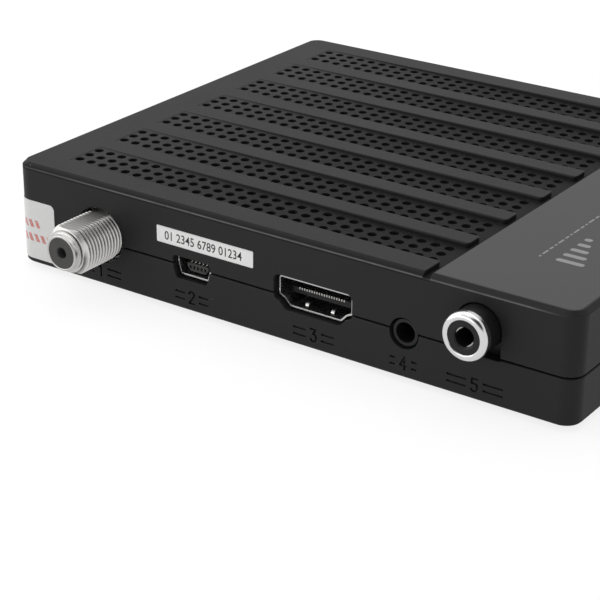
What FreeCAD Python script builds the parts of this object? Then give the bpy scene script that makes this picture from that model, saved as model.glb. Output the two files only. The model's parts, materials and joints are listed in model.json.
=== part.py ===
"""Satellite TV receiver: a flat two-shell case with a vented top, a port panel on the
-Y side, a display and three keys on the +Y side, and the circuit board inside.

All sizes are in millimetres.  The pieces are laid out in case coordinates: x = 0 is the
left wall, y = 0 is the port face and z = 0 is the underside of the case.  Each piece is
moved to the part's own origin, the bottom centre of its box, as it is written.
"""
import FreeCAD, Part
import math
import os

V = FreeCAD.Vector

# ---- Case shells -------------------------------------------------------------------
CASE_W = 115.0          # outer width
CASE_D = 95.8           # outer depth, port face to display face
CASE_H = 19.5           # outer height without the feet
CORNER_R = 3.0          # upright corners
TOP_CHAMFER = 0.85      # 45 degree edge round the top
BASE_CHAMFER = 0.3      # edge round the underside
WALL = 2.0              # side walls
FLOOR_T = 1.8           # bottom shell floor
ROOF_T = 2.2            # top shell roof
SEAM_Z = 8.3            # height of the joint between the shells
SEAM_GAP = 0.3          # shadow gap of the joint
SEAM_EDGE = 0.15        # broken edge on both sides of the shadow gap
LIP_T = 0.9             # lip of the bottom shell inside the top shell
LIP_H = 1.4             # how far the lip rises above the joint
LIP_CLEAR = 0.1         # air round the lip
BOSS_R = 2.2            # screw pillars
BOSS_INSET = 5.9        # pillar centre from both outer walls

# ---- Vented top --------------------------------------------------------------------
STRIP_W = 8.6           # width of one sunken strip, along Y
SLAT_W = 4.0            # width of the bar between two strips
STRIP_EDGE = 5.8        # least plain margin before the first and after the last strip
STRIP_X = 8.0           # where a strip starts to sink
GROOVE_SIDE = 28.0      # left side of the channel from the right wall
GROOVE_W = 1.45         # channel width
SUNK = 1.0              # depth of the channel, and of a strip at the channel
SLAT_EDGE_R = 0.3       # rounding of the long slat edges
SLAT_CORNER_R = 0.7     # rounding of the slat ends, seen from above
VENT_R = 0.88           # radius of a vent hole
VENT_PITCH = 2.69       # hole to hole, both ways
VENT_X = 9.1            # first column of holes
VENT_MARGIN = 2.0       # least distance from a hole's centre to the channel
VENT_ROWS = 3           # rows of holes in each strip

# ---- Trim plate --------------------------------------------------------------------
TRIM_RIM = 0.1          # case rim left between the plate and the chamfer
TRIM_CLEAR = 0.05       # air round the plate
TRIM_EDGE = 0.12        # broken top edge of the plate

# ---- Screws and feet ---------------------------------------------------------------
SCREW_R = 1.25          # screw shank at mid-thread
SCREW_CLEAR = 0.05      # air between the shank and a threaded hole
SCREW_PASS = 0.35       # air between the shank and a plain hole
SCREW_HEAD_R = 2.3
SCREW_HEAD_T = 1.5
SCREW_SHELF_T = 2.0     # pillar above the head of a case screw
SCREW_ROOM = 0.5        # hole beyond the tip of a case screw
CASE_SCREW_L = 10.0     # below the head
BOARD_SCREW_L = 3.8
DRIVE_W = 0.6           # cross recess in a screw head
DRIVE_L = 2.6
DRIVE_DEPTH = 0.8
FOOT_R = 4.0
FOOT_T = 1.6
FOOT_SINK = 0.5         # depth of the seat in the underside
FOOT_INSET = 15.0       # foot centre from both outer walls
FOOT_EDGE = 0.3

# ---- Board -------------------------------------------------------------------------
BOARD_T = 1.6
BOARD_TOP = 5.9         # height of the component side
BOARD_GAP = 0.4         # air between the board's edge and the walls
NOTCH_AIR = 0.2         # air round the aerial connector's base in the board
PIN_OUT = 0.8           # how far soldered pins stand out under the board
LEAD_W = 0.5            # square leads and legs
LEAD_HOLE_R = 0.5       # drilled holes of the leads
SCREW_A_X = 45.0        # board screws: between the tuner and the video socket,
SCREW_A_Y = 26.0
SCREW_B_X = 27.5        # before the switches,
SCREW_B_BACK = 21.3     # (from the display face)
SCREW_C_SIDE = 30.0     # and beside the power inlet (from the right wall)
SCREW_C_Y = 70.0

# ---- Aerial connector (3/8-32 thread) ----------------------------------------------
AERIAL_X = 19.6
AERIAL_RISE = 3.51      # axis above the board
AERIAL_OUT = 10.3       # tip in front of the port face
THREAD_R = 4.7625
THREAD_PITCH = 0.79375
THREAD_DEPTH = 0.45
THREAD_START = 1.95     # from the tip to the first groove
AERIAL_FLAT = 4.1       # half height across the two flats
AERIAL_NECK_R = 3.3
AERIAL_NECK_L = 1.0
AERIAL_COLLAR_R = 3.66  # low collar behind the neck
AERIAL_COLLAR_L = 0.3
AERIAL_GROOVE_R = 3.18
AERIAL_GROOVE_L = 0.18
AERIAL_FACE_R = 4.2     # front face of the threaded length
AERIAL_CORE_R = 2.88    # insulator
AERIAL_PIN_HOLE_R = 1.0
AERIAL_CONTACT_R = 0.5
AERIAL_HOLE_R = 5.3     # hole in the case
AERIAL_BASE_W = 11.0    # square base behind the wall
AERIAL_BASE_L = 9.6
AERIAL_GAP = 0.6        # base behind the inside of the wall
AERIAL_SPIGOT = 3.0     # length of the barrel inside the base
AERIAL_FIT = 0.01       # air between barrel, base and core
AERIAL_TAIL = 1.3       # bend of the contact behind the base

# ---- Extension socket (small five-pole socket) -------------------------------------
EXT_X = 40.4
EXT_STAND = 0.23        # shell above the board
EXT_W = 7.6             # outside of the metal shell at its top
EXT_H = 3.6
EXT_L = 8.4
EXT_RECESS = 1.0        # shell rim behind the port face
EXT_METAL = 0.3
EXT_TONGUE_W = 4.6      # at its top
EXT_TONGUE_T = 1.5
EXT_TONGUE_DROP = 0.45  # tongue's middle below the shell's
EXT_TONGUE_SINK = 0.9   # tongue's front behind the shell's rim
EXT_POLES = 5
EXT_PITCH = 0.8
EXT_CONTACT_W = 0.28
EXT_CONTACT_T = 0.12    # also the radius of the contact's round end
EXT_SLOT_W = 0.4        # slots in the tongue's front
EXT_SLOT_H = 0.6
EXT_AIR = 0.35          # gap between the shell and the case
EXT_HOLE_DROP = 0.15    # hole's middle below the shell's

# ---- Video socket (nineteen-pole digital socket) -----------------------------------
VIDEO_SIDE = 49.07      # middle from the right wall
VIDEO_STAND = 0.24      # shell above the board
VIDEO_W = 14.95         # outside of the metal shell
VIDEO_H = 5.36
VIDEO_L = 10.8
VIDEO_RECESS = 1.0
VIDEO_METAL = 0.3
VIDEO_TONGUE_W = 11.6
VIDEO_TONGUE_T = 1.1
VIDEO_TONGUE_DROP = 0.3 # tongue's middle below the shell's
VIDEO_TONGUE_SINK = 1.95 # tongue's front behind the shell's rim
VIDEO_POLES = 19
VIDEO_PITCH = 0.5
VIDEO_CONTACT_W = 0.28
VIDEO_CONTACT_T = 0.1
VIDEO_TIP_H = 0.3       # contact's bend down the tongue's front
VIDEO_DIMPLE_W = 0.65   # spring dimples in the shell's floor
VIDEO_DIMPLE_R = 0.8
VIDEO_DIMPLE_SINK = 2.0 # dimple's middle behind the rim
VIDEO_DIMPLE_X = 2.6    # dimple from the shell's middle
VIDEO_AIR = 0.45

# ---- Sound and picture jack (3.5 mm) -----------------------------------------------
JACK_SIDE = 31.05       # middle from the right wall
JACK_RISE = 2.0         # axis above the board
JACK_BORE_R = 1.8
JACK_NOSE_R = 2.37
JACK_RECESS = 0.5
JACK_DEPTH = 13.0       # bore depth from the mouth
JACK_W = 6.4
JACK_H = 5.0
JACK_HOLE_R = 2.8
JACK_SLOT_W = 1.0
JACK_LEAF_L = 2.0

# ---- Coaxial sound socket (8.3 mm ring) --------------------------------------------
COAX_SIDE = 17.49       # middle from the right wall
COAX_HEAD = 0.23        # air between the block and the roof
COAX_OUT = 4.75         # ring front before the port face
COAX_RING_R = 4.15
COAX_RING_L = 1.7
COAX_RING_T = 1.25
COAX_ROLL_OUT = 0.9     # rounding of the ring's outer and inner front edges
COAX_ROLL_IN = 0.25
COAX_CORE_SINK = 0.25   # core's face behind the ring's front
COAX_CORE_L = 2.6
COAX_BARREL_R = 4.0
COAX_AIR = 0.22         # gap between the barrel and its arch in the case
COAX_HOLE_R = 1.7
COAX_HOLE_L = 9.0       # from the core's face
COAX_BASE_W = 9.8
COAX_BASE_L = 8.0
COAX_BLOCK_RIM = 0.3    # block above the barrel
COAX_SLOT_SINK = 0.4    # arch legs run this far below the joint
COAX_FLARE = 0.3        # core's hole is wider at its mouth
COAX_LEAF_SINK = 0.35   # contact leaves behind the core's face
COAX_LEAF_T = 0.22
COAX_LEAF_TURN = 45.0   # turn of the leaves' slit in degrees
COAX_LEAF_SLIT = 2.6

# ---- Power inlet, right side -------------------------------------------------------
POWER_Y = 72.0
POWER_HEAD = 1.0        # air between the block and the roof
POWER_NOSE_R = 3.9
POWER_BORE_R = 3.0
POWER_PIN_R = 1.0
POWER_DEPTH = 9.5
POWER_W = 9.0
POWER_TOP = 4.8         # block above the axis
POWER_L = 13.5
POWER_RECESS = 0.3
POWER_AIR = 0.2

# ---- Data socket, left side --------------------------------------------------------
DATA_Y = 62.0
DATA_W = 13.1
DATA_H = 5.7
DATA_L = 13.0
DATA_METAL = 0.3
DATA_RECESS = 0.6
DATA_RISE = 0.2         # shell above the board
DATA_TONGUE_W = 11.1
DATA_TONGUE_T = 1.9
DATA_POLES = 4
DATA_AIR = 0.3

# ---- Display side ------------------------------------------------------------------
WINDOW_X0 = 36.0
WINDOW_X1 = 79.0
DISPLAY_HEAD = 0.3      # air between the display block and the roof
WINDOW_H = 6.8
WINDOW_T = 0.8
WINDOW_LEDGE = 0.9      # ledge that carries the window
WINDOW_CLEAR = 0.05
DISPLAY_X = 55.0
DISPLAY_W = 30.0
DISPLAY_H = 8.6
DISPLAY_T = 5.6
DISPLAY_GAP = 0.6       # display face behind the wall's inner side
DIGIT_W = 3.4
DIGIT_H = 5.8
DIGIT_PITCH = 6.4
SEGMENT_T = 0.7
SEGMENT_RAISE = 0.1
LAMP_X = 84.0
LAMP_R = 1.5
LAMP_OUT = 0.3          # dome before the display face
LAMP_SEAT = 2.6         # lamp's back behind the inside of the wall
EYE_X = 74.5            # infrared receiver
EYE_W = 5.8
EYE_H = 6.6
EYE_T = 3.6
EYE_DOME_R = 2.1
EYE_RISE = 1.8          # block above the board

# ---- Keys --------------------------------------------------------------------------
KEY_X = 12.2            # first key
KEY_PITCH = 8.6
KEY_RISE = 4.8          # key's middle above the board
KEY_W = 6.0
KEY_H = 3.0
KEY_OUT = 0.6           # cap before the case face
KEY_AIR = 0.15          # gap round a cap
KEY_FLANGE = 0.6        # flange beyond the cap, inside the wall
KEY_FLANGE_T = 1.0
KEY_STOP_AIR = 0.02     # flange behind the wall at rest
KEY_STEM_R = 1.2
KEY_STEM_L = 1.4
PLUNGER_R = 1.6
PLUNGER_L = 2.4
PLUNGER_OUT = 1.3       # plunger before its switch at rest
PLUNGER_AIR = 0.08
PLUNGER_ROOM = 0.7      # free way behind the plunger
SWITCH_W = 6.0
SWITCH_T = 4.0
SWITCH_PLATE_T = 0.3

# ---- Labels ------------------------------------------------------------------------
LABEL_LEFT = 7.4        # left edge from the extension socket's middle
LABEL_SIDE = 12.13      # right edge from the video socket's middle
LABEL_Z0 = 11.7
LABEL_Z1 = 14.75
SEAL_X1 = 8.9           # right edge on the port face
SEAL_Z0 = 0.95
SEAL_Z1 = 12.4
SEAL_SIDE = 9.0         # how far the seal runs along the left side
SEAL_R = 1.0
STICKER_T = 0.1
MARK_Z = 1.5            # foot of the sunk port marks
MARK_H = 2.2
MARK_STROKE = 0.42
MARK_DEPTH = 0.45
MARK_BAR_H = 0.42
MARK_BAR_RISE = 0.62    # bars above and below the digit's middle

# ---- Circuit -----------------------------------------------------------------------
CAN_X0 = 8.4            # tuner screen
CAN_Y0 = 16.0
CAN_W = 30.0
CAN_D = 28.0
CAN_H = 5.2
CAN_T = 0.4
LID_AIR = 0.05          # lid round the screen's wall
LID_SKIRT = 1.6
LID_HOLE_R = 0.75
LID_HOLE_PITCH = 4.5
TUNER_CHIP_W = 6.0
TUNER_CHIP_T = 0.9
CHIP_SIDE = 53.0        # main chip's middle from the right wall
CHIP_Y = 50.0
CHIP_W = 17.0
CHIP_T = 1.4
PAD_T = 0.5
RAM_W = 13.0            # working memory, beyond the main chip
RAM_D = 9.0
RAM_T = 1.2
RAM_Y = 19.5            # its middle from the main chip's
ROM_W = 6.0             # program memory, right of the main chip
ROM_D = 8.0
ROM_T = 1.6
ROM_X = 19.0
ROM_Y = 8.0
SINK_W = 22.0
SINK_H = 5.6
SINK_BASE_T = 1.4
SINK_FIN_T = 1.0
SINK_FINS = 7
CAP_R = 3.15            # electrolytic capacitors
CAP_H = 8.0
CAP_PITCH = 8.0
CAP_NECK = 0.4          # pressed groove near the foot
CAP_NECK_Z = 2.0
CAP_NECK_SINK = 0.3
CAP_ROW_X = 4.0         # row's first can left of the coils
CAP_ROW_Y = 15.0        # row before the first coil
CAP_INLET_Y = 1.0       # can beside the power inlet
CAP_CHIP_X = 22.0       # can left of the main chip
CAP_CHIP_Y = 15.0
SUPPLY_SIDE = 24.0      # power coils from the right wall, with the regulators beside them
SUPPLY_Y = 40.0
SUPPLY_PITCH = 7.0
COIL_W = 6.0
COIL_H = 3.0
REGULATOR_X = 10.0      # regulators right of the coils
REGULATOR_W = 6.5
REGULATOR_D = 3.6
REGULATOR_T = 1.7
CRYSTAL_W = 11.0
CRYSTAL_D = 4.6
CRYSTAL_H = 3.4
CRYSTAL_X = 18.0        # left of the main chip
CRYSTAL_Y = 3.0
SMALL_W = 1.0           # small surface parts
SMALL_L = 2.0
SMALL_T = 0.6
SMALL_PITCH = 3.0
SMALL_ROW_Y = 14.0      # first row before the main chip
SMALL_ROW_GAP = 4.0     # first row to the second
SMALL_SIDE_X = 14.0     # row right of the main chip
SMALL_SIDE_Y = 9.0
SMALL_VIDEO_Y = 16.0    # row behind the video socket

# ---- Worked-out places -------------------------------------------------------------
BOARD_Z0 = BOARD_TOP - BOARD_T
ROOF_Z = CASE_H - ROOF_T
SHELL_TOP_Z = SEAM_Z + SEAM_GAP / 2
SHELL_BASE_Z = SEAM_Z - SEAM_GAP / 2
GROOVE_X = CASE_W - GROOVE_SIDE
TRIM_X = GROOVE_X + GROOVE_W
STRIP_PITCH = STRIP_W + SLAT_W
STRIPS = int((CASE_D - 2 * STRIP_EDGE + SLAT_W + 0.001) // STRIP_PITCH)
STRIP_Y = (CASE_D - STRIPS * STRIP_PITCH + SLAT_W) / 2
VENT_COLS = int((GROOVE_X - VENT_MARGIN - VENT_X) // VENT_PITCH) + 1
BOSS_XY = [(x, y) for x in (BOSS_INSET, CASE_W - BOSS_INSET) for y in (BOSS_INSET, CASE_D - BOSS_INSET)]
FOOT_XY = [(x, y) for x in (FOOT_INSET, CASE_W - FOOT_INSET) for y in (FOOT_INSET, CASE_D - FOOT_INSET)]
SCREW_B_Y = CASE_D - SCREW_B_BACK
SCREW_C_X = CASE_W - SCREW_C_SIDE
BOARD_SCREW_XY = [(SCREW_A_X, SCREW_A_Y), (SCREW_B_X, SCREW_B_Y), (SCREW_C_X, SCREW_C_Y)]
AERIAL_Z = BOARD_TOP + AERIAL_RISE
EXT_Z = BOARD_TOP + EXT_STAND + EXT_H / 2
VIDEO_X = CASE_W - VIDEO_SIDE
VIDEO_Z = BOARD_TOP + VIDEO_STAND + VIDEO_H / 2
LABEL_X0 = EXT_X - LABEL_LEFT
LABEL_X1 = VIDEO_X - LABEL_SIDE
JACK_X = CASE_W - JACK_SIDE
JACK_Z = BOARD_TOP + JACK_RISE
COAX_X = CASE_W - COAX_SIDE
COAX_Z = ROOF_Z - COAX_HEAD - COAX_BLOCK_RIM - COAX_BARREL_R
COAX_BARREL_Y = COAX_RING_L - COAX_OUT
COAX_CORE_Y = COAX_CORE_SINK - COAX_OUT
COAX_CORE_BACK = COAX_CORE_Y + COAX_CORE_L
COAX_HOLE_BACK = COAX_CORE_Y + COAX_HOLE_L
WINDOW_Z = ROOF_Z - DISPLAY_HEAD - DISPLAY_H / 2
KEY_Z = BOARD_TOP + KEY_RISE
CHIP_X = CASE_W - CHIP_SIDE
SUPPLY_X = CASE_W - SUPPLY_SIDE
KEY_XS = [KEY_X + i * KEY_PITCH for i in range(3)]
KEY_FRONT = CASE_D + KEY_OUT
KEY_FLANGE_Y = CASE_D - WALL - KEY_STOP_AIR
SWITCH_FACE_Y = KEY_FLANGE_Y - KEY_FLANGE_T - KEY_STEM_L - PLUNGER_OUT
POWER_Z = ROOF_Z - POWER_HEAD - POWER_TOP
CASE_SEAT_Z = BOARD_Z0 - SCREW_SHELF_T
AERIAL_BACK = WALL + AERIAL_GAP + AERIAL_BASE_L
DISPLAY_Y1 = CASE_D - WALL - DISPLAY_GAP
EYE_Y1 = DISPLAY_Y1 - EYE_DOME_R / 2
EYE_Z0 = BOARD_TOP + EYE_RISE
LAMP_BACK = CASE_D - WALL - LAMP_SEAT
FOOT_STAND = FOOT_T - FOOT_SINK
TO_ORIGIN = V((STICKER_T - CASE_W) / 2, (AERIAL_OUT - KEY_FRONT) / 2, FOOT_STAND)

# Stroke paths of the plain digits, in a cell one unit wide and two high.
DIGIT_PATHS = {
    "1": [(0.15, 1.6), (0.55, 2.0), (0.55, 0.0)],
    "2": [(0.0, 1.65), (0.3, 2.0), (0.8, 2.0), (1.0, 1.7), (1.0, 1.3), (0.0, 0.0), (1.0, 0.0)],
    "3": [(0.0, 2.0), (1.0, 2.0), (0.45, 1.2), (0.8, 1.15), (1.0, 0.85), (1.0, 0.3), (0.75, 0.0), (0.25, 0.0),
          (0.0, 0.3)],
    "4": [(0.75, 0.0), (0.75, 2.0), (0.0, 0.6), (1.05, 0.6)],
    "5": [(0.95, 2.0), (0.1, 2.0), (0.05, 1.2), (0.7, 1.25), (1.0, 0.95), (1.0, 0.35), (0.7, 0.0),
          (0.25, 0.0), (0.0, 0.25)],
}
# Sunk marks on the port panel: digit, middle and whole width.
PORT_MARKS = [
    ("1", AERIAL_X, 9.6),
    ("2", EXT_X, 7.3),
    ("3", VIDEO_X + 0.3, 8.3),
    ("4", JACK_X, 5.2),
    ("5", COAX_X - 0.2, 10.4),
]


# ---- Geometry helpers --------------------------------------------------------------
def box(xs, ys, zs):
    """A box between three (low, high) pairs."""
    return Part.makeBox(xs[1] - xs[0], ys[1] - ys[0], zs[1] - zs[0], V(xs[0], ys[0], zs[0]))


def about(middle, width):
    """The (low, high) pair of a width centred on a middle."""
    return (middle - width / 2, middle + width / 2)


def rod(axis, at, ends, radius):
    """A cylinder along "x", "y" or "z"; at holds its other two coordinates in order."""
    start = {"x": V(ends[0], at[0], at[1]), "y": V(at[0], ends[0], at[1]), "z": V(at[0], at[1], ends[0])}
    way = {"x": V(1, 0, 0), "y": V(0, 1, 0), "z": V(0, 0, 1)}
    return Part.makeCylinder(radius, ends[1] - ends[0], start[axis], way[axis])


def place_on(axis, level):
    """Turns flat (u, v) points into points of the plane square to an axis."""
    spots = {
        "x": lambda p: V(level, p.x, p.y),
        "y": lambda p: V(p.x, level, p.y),
        "z": lambda p: V(p.x, p.y, level),
    }
    return spots[axis]


def outline(corners, place):
    """A closed wire through corners (u, v, radius), each rounded by its own radius."""
    rounded = []
    for i in range(len(corners)):
        point = V(corners[i][0], corners[i][1], 0)
        back = (V(corners[i - 1][0], corners[i - 1][1], 0) - point).normalize()
        ahead_corner = corners[(i + 1) % len(corners)]
        ahead = (V(ahead_corner[0], ahead_corner[1], 0) - point).normalize()
        radius = corners[i][2]
        half = back.getAngle(ahead) / 2
        reach = radius / math.tan(half)
        middle = point + (back + ahead).normalize() * (radius / math.sin(half) - radius)
        rounded.append((point + back * reach, middle, point + ahead * reach))
    edges = []
    for i in range(len(rounded)):
        enter, middle, leave = rounded[i]
        following = rounded[(i + 1) % len(rounded)][0]
        if corners[i][2] > 0:
            edges.append(Part.Arc(place(enter), place(middle), place(leave)).toShape())
        if leave.distanceToPoint(following) > 1e-6:
            edges.append(Part.makeLine(place(leave), place(following)))
    return Part.Wire(edges)


def prism(corners, axis, ends):
    """A rounded outline pushed along an axis between two levels."""
    way = {"x": V(1, 0, 0), "y": V(0, 1, 0), "z": V(0, 0, 1)}[axis]
    return Part.Face(outline(corners, place_on(axis, ends[0]))).extrude(way * (ends[1] - ends[0]))


def grown_prism(corners, axis, ends, growth):
    """The same, with the outline moved outwards (or inwards, if negative)."""
    way = {"x": V(1, 0, 0), "y": V(0, 1, 0), "z": V(0, 0, 1)}[axis]
    wire = outline(corners, place_on(axis, ends[0])).makeOffset2D(growth)
    return Part.Face(wire).extrude(way * (ends[1] - ends[0]))


def rectangle(us, vs, radius):
    """Corners of a rectangle whose corners share one radius."""
    return [(us[0], vs[0], radius), (us[1], vs[0], radius), (us[1], vs[1], radius), (us[0], vs[1], radius)]


def mirrored(corners, middle):
    """The left half of an outline from its right half, in running order."""
    return [(2 * middle - u, v, radius) for u, v, radius in reversed(corners)]


def turned(points, centre, way):
    """A turned solid; points are (distance along the axis, radius) with an optional rounding."""
    side = V(0, 0, 1)
    if abs(way.z) > 0.5:
        side = V(1, 0, 0)
    corners = [(point + (0,))[:3] for point in points]
    section = outline(corners, lambda p: centre + way * p.x + side * p.y)
    solid = Part.Face(section).revolve(centre, way, 360)
    if solid.Volume < 0:
        solid.reverse()
    return solid


def joined(shapes):
    """One solid from touching shapes, without the inner seams."""
    return shapes[0].fuse(shapes[1:]).removeSplitter()


def group(shapes):
    """Separate solids kept together as one piece."""
    return Part.makeCompound(shapes)


def save(name, shape):
    """Writes one piece, moved to the part's own origin."""
    moved = shape.copy()
    moved.translate(TO_ORIGIN)
    facts = (name, len(moved.Solids), moved.isValid(), moved.Volume)
    print("%-26s solids %3d  valid %s  volume %9.2f" % facts)
    moved.exportStep("parts/%s.step" % name)


# ---- Case --------------------------------------------------------------------------
def case_block(inset, z0, z1):
    """A block with the case's plan, smaller by an inset all round."""
    radius = max(CORNER_R - inset, 0.3)
    return prism(rectangle((inset, CASE_W - inset), (inset, CASE_D - inset), radius), "z", (z0, z1))


def edges_at(shape, z):
    """The edges of a shape that lie flat at one height."""
    return [e for e in shape.Edges if abs(e.BoundBox.ZMin - z) < 1e-4 and abs(e.BoundBox.ZMax - z) < 1e-4]


def strip_wall(x, y0, y1, depth, radius):
    """Cross-section of a strip's cutter at one x, with rounded upper edges."""
    top = CASE_H + 1.0
    lean = radius * (1 - math.sqrt(0.5))
    left_mid = V(x, y0 - lean, CASE_H - lean)
    right_mid = V(x, y1 + lean, CASE_H - lean)
    shoulder = CASE_H - radius
    floor = CASE_H - depth
    points = [V(x, y0 - radius, top), V(x, y0 - radius, CASE_H), V(x, y0, shoulder), V(x, y0, floor),
              V(x, y1, floor), V(x, y1, shoulder), V(x, y1 + radius, CASE_H), V(x, y1 + radius, top)]
    edges = [
        Part.makeLine(points[0], points[1]),
        Part.Arc(points[1], left_mid, points[2]).toShape(),
        Part.makeLine(points[2], points[3]),
        Part.makeLine(points[3], points[4]),
        Part.makeLine(points[4], points[5]),
        Part.Arc(points[5], right_mid, points[6]).toShape(),
        Part.makeLine(points[6], points[7]),
        Part.makeLine(points[7], points[0]),
    ]
    return Part.Wire(edges)


def strip_cutters():
    """The sunken strips: level with the top at the left, SUNK deep at the channel."""
    start = 0.02
    cutters = []
    for k in range(STRIPS):
        y0 = STRIP_Y + k * STRIP_PITCH
        y1 = y0 + STRIP_W
        shallow = strip_wall(STRIP_X, y0, y1, 2 * start, start)
        deep = strip_wall(GROOVE_X + SLAT_CORNER_R / 2, y0, y1, SUNK, SLAT_EDGE_R)
        cutters.append(Part.makeLoft([shallow, deep], True, True))
        zs = (CASE_H - SUNK, CASE_H + 1)
        for y, toward in ((y0, -1), (y1, 1)):
            ys = sorted((y - toward * 0.1, y + toward * SLAT_CORNER_R))
            corner = box((GROOVE_X - SLAT_CORNER_R, GROOVE_X + 0.1), ys, zs)
            centre = (GROOVE_X - SLAT_CORNER_R, y + toward * SLAT_CORNER_R)
            cutters.append(corner.cut(rod("z", centre, zs, SLAT_CORNER_R)))
    return cutters


def vent_cutters():
    """The round vent holes, a square lattice of rows in every strip."""
    cutters = []
    for k in range(STRIPS):
        middle = STRIP_Y + k * STRIP_PITCH + STRIP_W / 2
        for row in range(VENT_ROWS):
            y = middle + (row - (VENT_ROWS - 1) / 2) * VENT_PITCH
            for col in range(VENT_COLS):
                x = VENT_X + col * VENT_PITCH
                cutters.append(rod("z", (x, y), (ROOF_Z - 1, CASE_H + 1), VENT_R))
    return cutters


def trim_corners(grow):
    """Plan of the trim plate: square at the channel, following the case at the right."""
    inset = TOP_CHAMFER + TRIM_RIM - grow
    radius = CORNER_R - inset
    return [(TRIM_X, inset, 0), (CASE_W - inset, inset, radius), (CASE_W - inset, CASE_D - inset, radius),
            (TRIM_X, CASE_D - inset, 0)]


def trim_pocket():
    """Channel through the whole depth, and the seat of the trim plate beside it."""
    channel = box((GROOVE_X, TRIM_X), (-1, CASE_D + 1), (CASE_H - SUNK, CASE_H + 1))
    seat = prism(trim_corners(0), "z", (CASE_H - SUNK, CASE_H + 1))
    return [channel, seat]


def ext_corners():
    """Outline of the extension socket's shell: a shallow cup, narrower at its foot."""
    half = EXT_W / 2
    top = EXT_Z + EXT_H / 2
    foot = EXT_Z - EXT_H / 2
    right = [(EXT_X + half - 0.75, foot, 0.5), (EXT_X + half - 0.25, EXT_Z - 0.2, 0.8),
             (EXT_X + half, top, 0.4)]
    return mirrored(right, EXT_X) + right


def video_corners():
    """Outline of the video socket's shell: a wide slot that narrows at its foot."""
    half = VIDEO_W / 2
    top = VIDEO_Z + VIDEO_H / 2
    foot = VIDEO_Z - VIDEO_H / 2
    right = [(VIDEO_X + half - 2.3, foot, 0.7), (VIDEO_X + half - 1.1, VIDEO_Z - 1.4, 0.8),
             (VIDEO_X + half, VIDEO_Z - 0.95, 0.6), (VIDEO_X + half, top, 0.7)]
    return mirrored(right, VIDEO_X) + right


def data_corners(grow):
    """Outline of the data socket's shell, seen along X."""
    z0 = BOARD_TOP + DATA_RISE
    return rectangle(about(DATA_Y, DATA_W + 2 * grow), (z0 - grow, z0 + DATA_H + grow), 0.5 + grow)


def port_cutters():
    """Openings for the sockets in the port panel and in both side walls."""
    through = (-1, WALL + 1)
    half_arch = COAX_BARREL_R + COAX_AIR
    arch = rod("y", (COAX_X, COAX_Z), through, half_arch)
    legs = box(about(COAX_X, 2 * half_arch), through, (SEAM_Z - COAX_SLOT_SINK, COAX_Z))
    ext_hole = grown_prism(ext_corners(), "y", through, EXT_AIR)
    ext_hole.translate(V(0, 0, -EXT_HOLE_DROP))
    return [
        rod("y", (AERIAL_X, AERIAL_Z), through, AERIAL_HOLE_R),
        ext_hole,
        grown_prism(video_corners(), "y", through, VIDEO_AIR),
        rod("y", (JACK_X, JACK_Z), through, JACK_HOLE_R),
        arch.fuse(legs),
        rod("x", (POWER_Y, POWER_Z), (CASE_W - WALL - 1, CASE_W + 1), POWER_NOSE_R + POWER_AIR),
        prism(data_corners(DATA_AIR), "x", (-1, WALL + 1)),
    ]


def display_side_cutters():
    """Window seat and opening, lamp hole and key holes in the display face."""
    inner = CASE_D - WALL - 1
    xs = (WINDOW_X0, WINDOW_X1)
    zs = about(WINDOW_Z, WINDOW_H)
    seat = prism(rectangle(xs, zs, 0.8), "y", (CASE_D - WINDOW_T, CASE_D + 1))
    inner_xs = (xs[0] + WINDOW_LEDGE, xs[1] - WINDOW_LEDGE)
    inner_zs = (zs[0] + WINDOW_LEDGE, zs[1] - WINDOW_LEDGE)
    opening = prism(rectangle(inner_xs, inner_zs, 0.4), "y", (inner, CASE_D))
    lamp = rod("y", (LAMP_X, WINDOW_Z), (inner, CASE_D + 1), LAMP_R + 0.1)
    keys = [prism(key_corners(x, KEY_AIR), "y", (inner, CASE_D + 1)) for x in KEY_XS]
    return [seat, opening, lamp] + keys


def top_cover():
    """Upper shell with vented roof, screw pillars and port openings."""
    shell = case_block(0, SHELL_TOP_Z, CASE_H)
    shell = shell.makeChamfer(TOP_CHAMFER, edges_at(shell, CASE_H))
    shell = shell.makeChamfer(SEAM_EDGE, edges_at(shell, SHELL_TOP_Z))
    hollow = case_block(WALL, 0, ROOF_Z)
    rebate = case_block(WALL - LIP_T - LIP_CLEAR, 0, SEAM_Z + LIP_H + LIP_CLEAR)
    shell = shell.cut([hollow, rebate])
    pillars = [rod("z", xy, (BOARD_TOP, ROOF_Z + 0.2), BOSS_R) for xy in BOSS_XY]
    shell = joined([shell] + pillars)
    screw_top = CASE_SEAT_Z + CASE_SCREW_L + SCREW_ROOM
    screw_holes = [rod("z", xy, (0, screw_top), SCREW_R + SCREW_CLEAR) for xy in BOSS_XY]
    shell = shell.cut(screw_holes + strip_cutters() + trim_pocket())
    return shell.cut(port_cutters() + display_side_cutters() + vent_cutters())


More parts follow.
